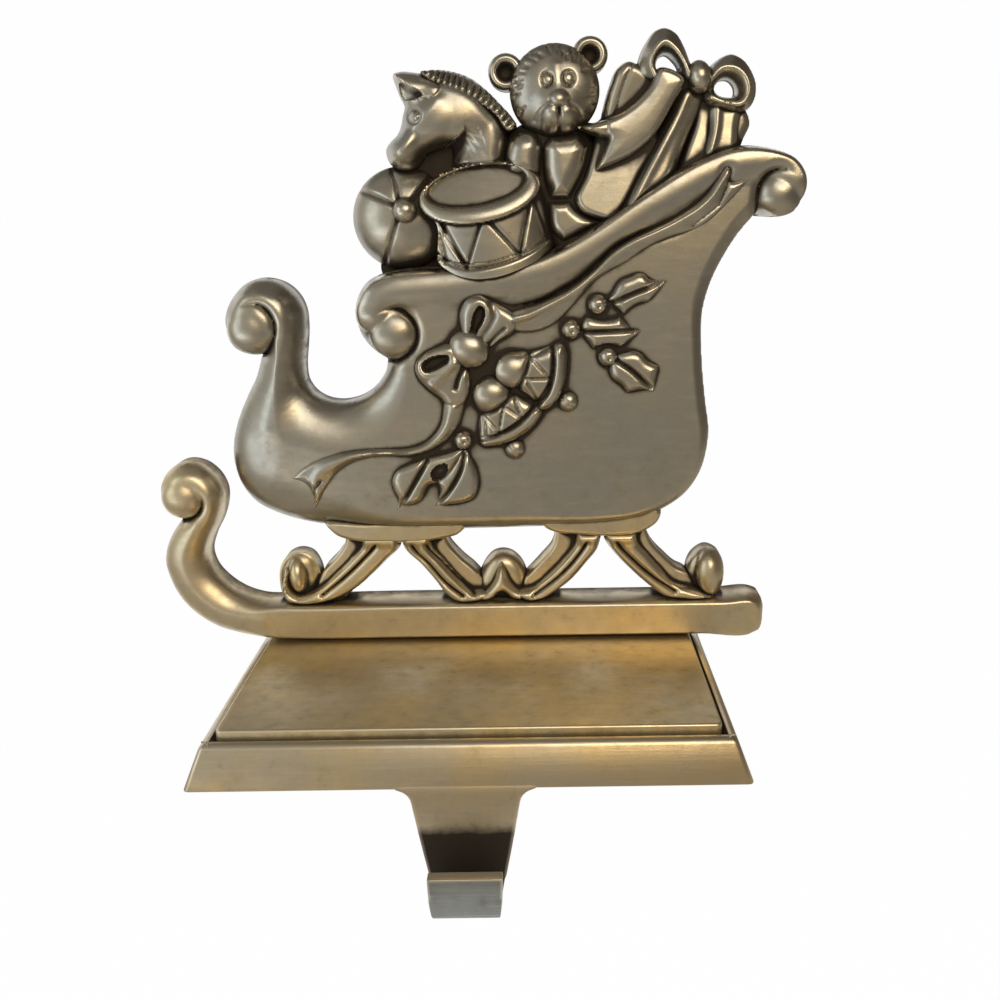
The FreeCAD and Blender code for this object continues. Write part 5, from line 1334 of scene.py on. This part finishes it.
def finish_pieces(colours):
    mark_hollows()
    group = antique_group()
    sleigh = metal_finish("rubbed_sleigh_brass", group, colours.sleigh_metal, colours.sleigh_warm, (3.0, 3.0, 14.0))
    # painted reflection: the runner's lighter, warmer metal partly stands in for the floor it reflects
    runner = metal_finish("brushed_runner_brass_with_painted_reflection", group, colours.runner_metal_with_painted_reflection, colours.runner_warm_with_painted_reflection, (1.5, 3.0, 40.0),
                          0.06)
    tray = metal_finish("brushed_tray_brass", group, colours.tray_metal, colours.tray_warm, (1.5, 6.0, 40.0), 0.08,
                        bare=None)
    hook = metal_finish("brushed_hook_brass", group, colours.tray_metal, colours.tray_warm, (1.5, 6.0, 40.0), 0.08,
                        bare=(0.23, 0.235, 0.215, 1))
    plate = metal_finish("brushed_plate_brass", group, colours.plate_metal, colours.plate_warm, (1.2, 30.0, 30.0), 0.12)
    for piece in reliefs:
        low = piece.name.startswith(("runner", "strut", "pad", "peak", "foot"))
        piece.data.materials.append(runner if low else sleigh)
    for name, made in (("tray", tray), ("hook", hook), ("plate", plate)):
        bpy.data.objects[name].data.materials.append(made)
    for node, made in (("figure_screws", steel_finish(colours.steel)), ("felt_pad", felt_finish(colours.felt))):
        for slot in bpy.data.objects[node].material_slots:
            slot.material = made


# Studio

def area_light(name, place, aim, size, power, colour):
    lamp = bpy.data.lights.new(name, "AREA")
    lamp.shape = "RECTANGLE"
    lamp.size, lamp.size_y = size
    lamp.energy = power
    lamp.color = colour
    obj = bpy.data.objects.new(name, lamp)
    bpy.context.scene.collection.objects.link(obj)
    obj.location = place
    obj.rotation_euler = (Vector(aim) - Vector(place)).to_track_quat("-Z", "Y").to_euler()
    return obj


def build_bowl(paper):
    """White round floor that curves up into a wall all round the holder."""
    bpy.ops.object.select_all(action="DESELECT")
    bpy.ops.mesh.primitive_grid_add(x_subdivisions=72, y_subdivisions=40, size=1)
    bowl = bpy.context.object
    bowl.name = "bowl"
    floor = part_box("base_casting")[0][2] - 0.0004
    flat, radius, wall = 1.1, 0.5, 0.7
    length = flat + radius * math.pi / 2 + wall
    for vertex in bowl.data.vertices:
        turn = (vertex.co.x + 0.5) * 2 * math.pi
        along = (0.5 - vertex.co.y) * length
        angle = min(max((along - flat) / radius, 0), math.pi / 2)
        out = min(along, flat) + radius * math.sin(angle)
        rise = radius * (1 - math.cos(angle)) + max(along - flat - radius * math.pi / 2, 0)
        vertex.co = (out * math.cos(turn), out * math.sin(turn), floor + rise)
    bpy.ops.object.mode_set(mode="EDIT")
    bpy.ops.mesh.select_all(action="SELECT")
    bpy.ops.mesh.remove_doubles(threshold=0.0001)
    bpy.ops.mesh.normals_make_consistent(inside=True)
    bpy.ops.object.mode_set(mode="OBJECT")
    bpy.ops.object.shade_smooth()
    made = bpy.data.materials.new("white_paper")
    made.use_nodes = True
    g = Graph(made.node_tree)
    nodes = made.node_tree.nodes
    nodes.remove(nodes["Principled BSDF"])
    matt = g.add("ShaderNodeBsdfDiffuse", Color=(0.9, 0.9, 0.9, 1))
    glow = g.add("ShaderNodeEmission", Color=(1, 1, 1, 1), Strength=1.0)
    path = g.add("ShaderNodeLightPath")
    seen = g.sum("MAXIMUM", path.outputs["Is Camera Ray"], g.sum("MAXIMUM", path.outputs["Is Glossy Ray"],
                                                              path.outputs["Is Transmission Ray"]))
    both = g.add("ShaderNodeMixShader")
    g.join(g.sum("MULTIPLY", seen, paper), both.inputs[0])
    g.join(matt.outputs[0], both.inputs[1])
    g.join(glow.outputs[0], both.inputs[2])
    g.join(both.outputs[0], nodes["Material Output"].inputs["Surface"])
    bowl.data.materials.append(made)


def build_card():
    """Dim card that only the metal's reflections show, cool low on the left and golden on the right."""
    bpy.ops.object.select_all(action="DESELECT")
    bpy.ops.mesh.primitive_grid_add(x_subdivisions=48, y_subdivisions=40, size=1)
    card = bpy.context.object
    card.name = "room_card"
    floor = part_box("base_casting")[0][2]
    reach, near, height = 0.62, 0.06, 1.05
    for vertex in card.data.vertices:
        turn = math.radians(-68 + 260 * vertex.co.x)
        along = (vertex.co.y + 0.5) * (reach - near + height)
        rise = max(along - (reach - near), 0)
        out = min(near + along, reach) - (0 if rise < 0.5 else 0.5 * (rise - 0.5) ** 1.5)
        vertex.co = (out * math.cos(turn), out * math.sin(turn), floor + 0.002 + rise)
    bpy.ops.object.shade_smooth()
    made = bpy.data.materials.new("dim_room")
    made.use_nodes = True
    g = Graph(made.node_tree)
    nodes = made.node_tree.nodes
    nodes.remove(nodes["Principled BSDF"])
    place = g.add("ShaderNodeTexCoord").outputs["Object"]
    parts = g.add("ShaderNodeSeparateXYZ")
    g.join(place, parts.inputs[0])
    across, back, up = parts.outputs
    near_floor = g.spread(back, -0.40, -0.16)
    low = g.blend(near_floor, (0.36, 0.345, 0.315, 1), (0.47, 0.42, 0.33, 1))
    low = g.blend(g.spread(across, 0.16, 0.42), low, (0.20, 0.175, 0.14, 1))
    side = g.blend(g.spread(across, -0.48, -0.38), low, (2.3, 2.4, 2.4, 1))
    side = g.blend(g.spread(across, -0.26, -0.15), side, (1.2, 1.08, 0.86, 1))
    side = g.blend(g.spread(across, -0.13, -0.03), side, low)
    side = g.blend(g.spread(back, -0.46, -0.36), low, side)
    low = g.blend(g.spread(back, -0.20, -0.08), side, low)
    middle = g.blend(g.spread(across, -0.25, 0.0), (0.56, 0.54, 0.47, 1), (0.46, 0.39, 0.28, 1))
    gold = g.blend(g.spread(across, 0.0, 0.09), middle, (1.15, 0.90, 0.46, 1))
    gold = g.blend(g.spread(up, 0.12, 0.22), middle, gold)
    middle = g.blend(g.spread(across, 0.14, 0.24), gold, (0.16, 0.14, 0.11, 1))
    above = g.blend(g.spread(across, -0.25, 0.35), (0.36, 0.34, 0.29, 1), (0.11, 0.09, 0.065, 1))
    colour = g.blend(g.spread(up, 0.0, 0.10), low, middle)
    colour = g.blend(g.spread(up, 0.38, 0.54), colour, above)
    glow = g.add("ShaderNodeEmission", Strength=1.0)
    g.join(colour, glow.inputs["Color"])
    g.join(glow.outputs[0], nodes["Material Output"].inputs["Surface"])
    card.data.materials.append(made)
    card.visible_camera = False
    card.visible_diffuse = False
    card.visible_shadow = False


def build_world():
    """Dim ceiling above the bowl."""
    world = bpy.data.worlds.new("studio")
    bpy.context.scene.world = world
    world.use_nodes = True
    world.node_tree.nodes["Background"].inputs["Color"].default_value = (0.20, 0.185, 0.165, 1)


def build_camera(focal):
    scene = bpy.context.scene
    lens = bpy.data.cameras.new("camera")
    lens.lens = focal
    lens.sensor_width = 36
    lens.shift_x = -0.036
    lens.clip_start = 0.01
    camera = bpy.data.objects.new("camera", lens)
    scene.collection.objects.link(camera)
    camera.location = (0.0156, -0.2487, 0.1228)
    camera.rotation_euler = (math.radians(90 - 15.2), 0, 0)
    camera.rotation_euler.rotate_axis("Z", math.radians(-0.8))
    scene.camera = camera


class HOLDER_OT_hull(bpy.types.Operator):
    """Model the sleigh's hull with its rail, scrolls and bosses"""
    bl_idname = "holder.hull"
    bl_label = "Hull"

    def execute(self, context):
        add_relief("hull", [HULL], hull_depth, coarse=True)
        return {"FINISHED"}


class HOLDER_OT_runner(bpy.types.Operator):
    """Model the runner with its curl, the struts, their feet and the pads under the hull"""
    bl_idname = "holder.runner"
    bl_label = "Runner and struts"

    def execute(self, context):
        add_relief("runner", [RUNNER], runner_depth, coarse=True)
        for name, outline in STRUT_BACKS.items():
            add_relief("strut_" + name, [outline], lambda p, outline=outline: 5.2 + 1.6 * crown(p.edge(outline), 1.0))
        for name, (outline, grooves) in STRUT_RIBS.items():
            add_relief("strut_ribs_" + name, [outline], lambda p, outline=outline, grooves=grooves: rib_depth(
                p, outline, grooves), floor=0.6)
        for name, outline in PADS.items():
            add_relief("pad_" + name, [outline], lambda p, outline=outline: 7.4 + 3.4 * crown(p.edge(outline), 1.5))
        add_relief("peak_back", [PEAK_BACK], lambda p: 3.6 + 3.6 * crown(p.edge(PEAK_BACK), 3.4))
        add_relief("peak_front", [PEAK_FRONT], lambda p: 6.0 + 3.9 * crown(p.edge(PEAK_FRONT), 2.4), floor=0.6)
        add_relief("foot_ball_left", [EGG_BACK], lambda p: higher(3.6 + 3.4 * crown(p.edge(EGG_BACK), 3.2),
                                                                 5.4 + 4.3 * p.ball(-47.5, 17.4, 2.7, 5.0, 4)))
        add_relief("foot_ball_right", [EGG_RIGHT], lambda p: 4.4 + 2.6 * crown(p.edge(EGG_RIGHT), 4.4)
                   + 3.2 * p.ball(61.4, 16.4, 3.8, 6.6, 6))
        return {"FINISHED"}


class HOLDER_OT_ribbons(bpy.types.Operator):
    """Model the garland, the bow on the hull and its tail"""
    bl_idname = "holder.ribbons"
    bl_label = "Ribbons"

    def execute(self, context):
        ribbon_pieces()
        return {"FINISHED"}


class HOLDER_OT_trimmings(bpy.types.Operator):
    """Model the bells, berries and holly leaves"""
    bl_idname = "holder.trimmings"
    bl_label = "Bells and holly"

    def execute(self, context):
        trimming_pieces()
        return {"FINISHED"}


class HOLDER_OT_toys(bpy.types.Operator):
    """Model the horse, ball, drum and bear"""
    bl_idname = "holder.toys"
    bl_label = "Toys"

    def execute(self, context):
        toy_pieces()
        return {"FINISHED"}


class HOLDER_OT_gift(bpy.types.Operator):
    """Model the wrapped gift with its straps and bow"""
    bl_idname = "holder.gift"
    bl_label = "Gift"

    def execute(self, context):
        gift_pieces()
        return {"FINISHED"}


class HOLDER_OT_tray(bpy.types.Operator):
    """Model the flared tray and its hook"""
    bl_idname = "holder.tray"
    bl_label = "Tray and hook"

    def execute(self, context):
        tray_piece(context.scene.holder_sizes)
        hook_piece(context.scene.holder_sizes)
        return {"FINISHED"}


class HOLDER_OT_plate(bpy.types.Operator):
    """Model the weight plate"""
    bl_idname = "holder.plate"
    bl_label = "Plate"

    def execute(self, context):
        plate_piece(context.scene.holder_sizes)
        return {"FINISHED"}


class HOLDER_OT_finishes(bpy.types.Operator):
    """Work out the hollows and give every piece its finish"""
    bl_idname = "holder.finishes"
    bl_label = "Finishes"

    def execute(self, context):
        finish_pieces(context.scene.holder_finishes)
        return {"FINISHED"}


class HOLDER_OT_studio(bpy.types.Operator):
    """Set up the paper, the room, the lights and the camera"""
    bl_idname = "holder.studio"
    bl_label = "Studio"

    def execute(self, context):
        studio = context.scene.holder_studio
        context.scene.view_settings.view_transform = "Standard"
        build_camera(studio.lens)
        build_bowl(studio.paper)
        build_card()
        build_world()
        area_light("window_left", (-0.49, -0.25, 0.14), (-0.03, 0.02, 0.09), (0.24, 0.50), studio.window_power,
                   studio.window_colour)
        area_light("panel_above", (0.16, -0.46, 0.42), (0.02, 0.02, 0.10), (0.54, 0.30), studio.panel_power,
                   studio.panel_colour)
        area_light("lamp_right", (0.20, -0.44, 0.30), (0.02, 0.02, 0.10), (0.15, 0.11), studio.lamp_power,
                   studio.lamp_colour)
        return {"FINISHED"}


class HOLDER_PT_sidebar(bpy.types.Panel):
    bl_idname = "HOLDER_PT_sidebar"
    bl_label = "Stocking holder"
    bl_space_type = "VIEW_3D"
    bl_region_type = "UI"
    bl_category = "Stocking holder"

    def draw(self, context):
        for title, settings in (("Sizes", context.scene.holder_sizes), ("Finishes", context.scene.holder_finishes),
                                ("Light and camera", context.scene.holder_studio)):
            box = self.layout.box()
            box.label(text=title)
            for name in settings.__annotations__:
                box.prop(settings, name)
        for operator in OPERATORS:
            self.layout.operator(operator.bl_idname)


SETTINGS = (HolderSizes, HolderFinishes, HolderStudio)
OPERATORS = (HOLDER_OT_hull, HOLDER_OT_runner, HOLDER_OT_ribbons, HOLDER_OT_trimmings, HOLDER_OT_toys, HOLDER_OT_gift,
             HOLDER_OT_tray, HOLDER_OT_plate, HOLDER_OT_finishes, HOLDER_OT_studio)


def register():
    for made in SETTINGS + OPERATORS + (HOLDER_PT_sidebar,):
        bpy.utils.register_class(made)
    bpy.types.Scene.holder_sizes = bpy.props.PointerProperty(type=HolderSizes)
    bpy.types.Scene.holder_finishes = bpy.props.PointerProperty(type=HolderFinishes)
    bpy.types.Scene.holder_studio = bpy.props.PointerProperty(type=HolderStudio)


def unregister():
    del bpy.types.Scene.holder_studio
    del bpy.types.Scene.holder_finishes
    del bpy.types.Scene.holder_sizes
    for made in reversed(SETTINGS + OPERATORS + (HOLDER_PT_sidebar,)):
        bpy.utils.unregister_class(made)


def main():
    register()
    bpy.ops.holder.hull()
    bpy.ops.holder.runner()
    bpy.ops.holder.ribbons()
    bpy.ops.holder.trimmings()
    bpy.ops.holder.toys()
    bpy.ops.holder.gift()
    bpy.ops.holder.tray()
    bpy.ops.holder.plate()
    bpy.ops.holder.finishes()
    bpy.ops.holder.studio()


if __name__ == "__main__":
    main()
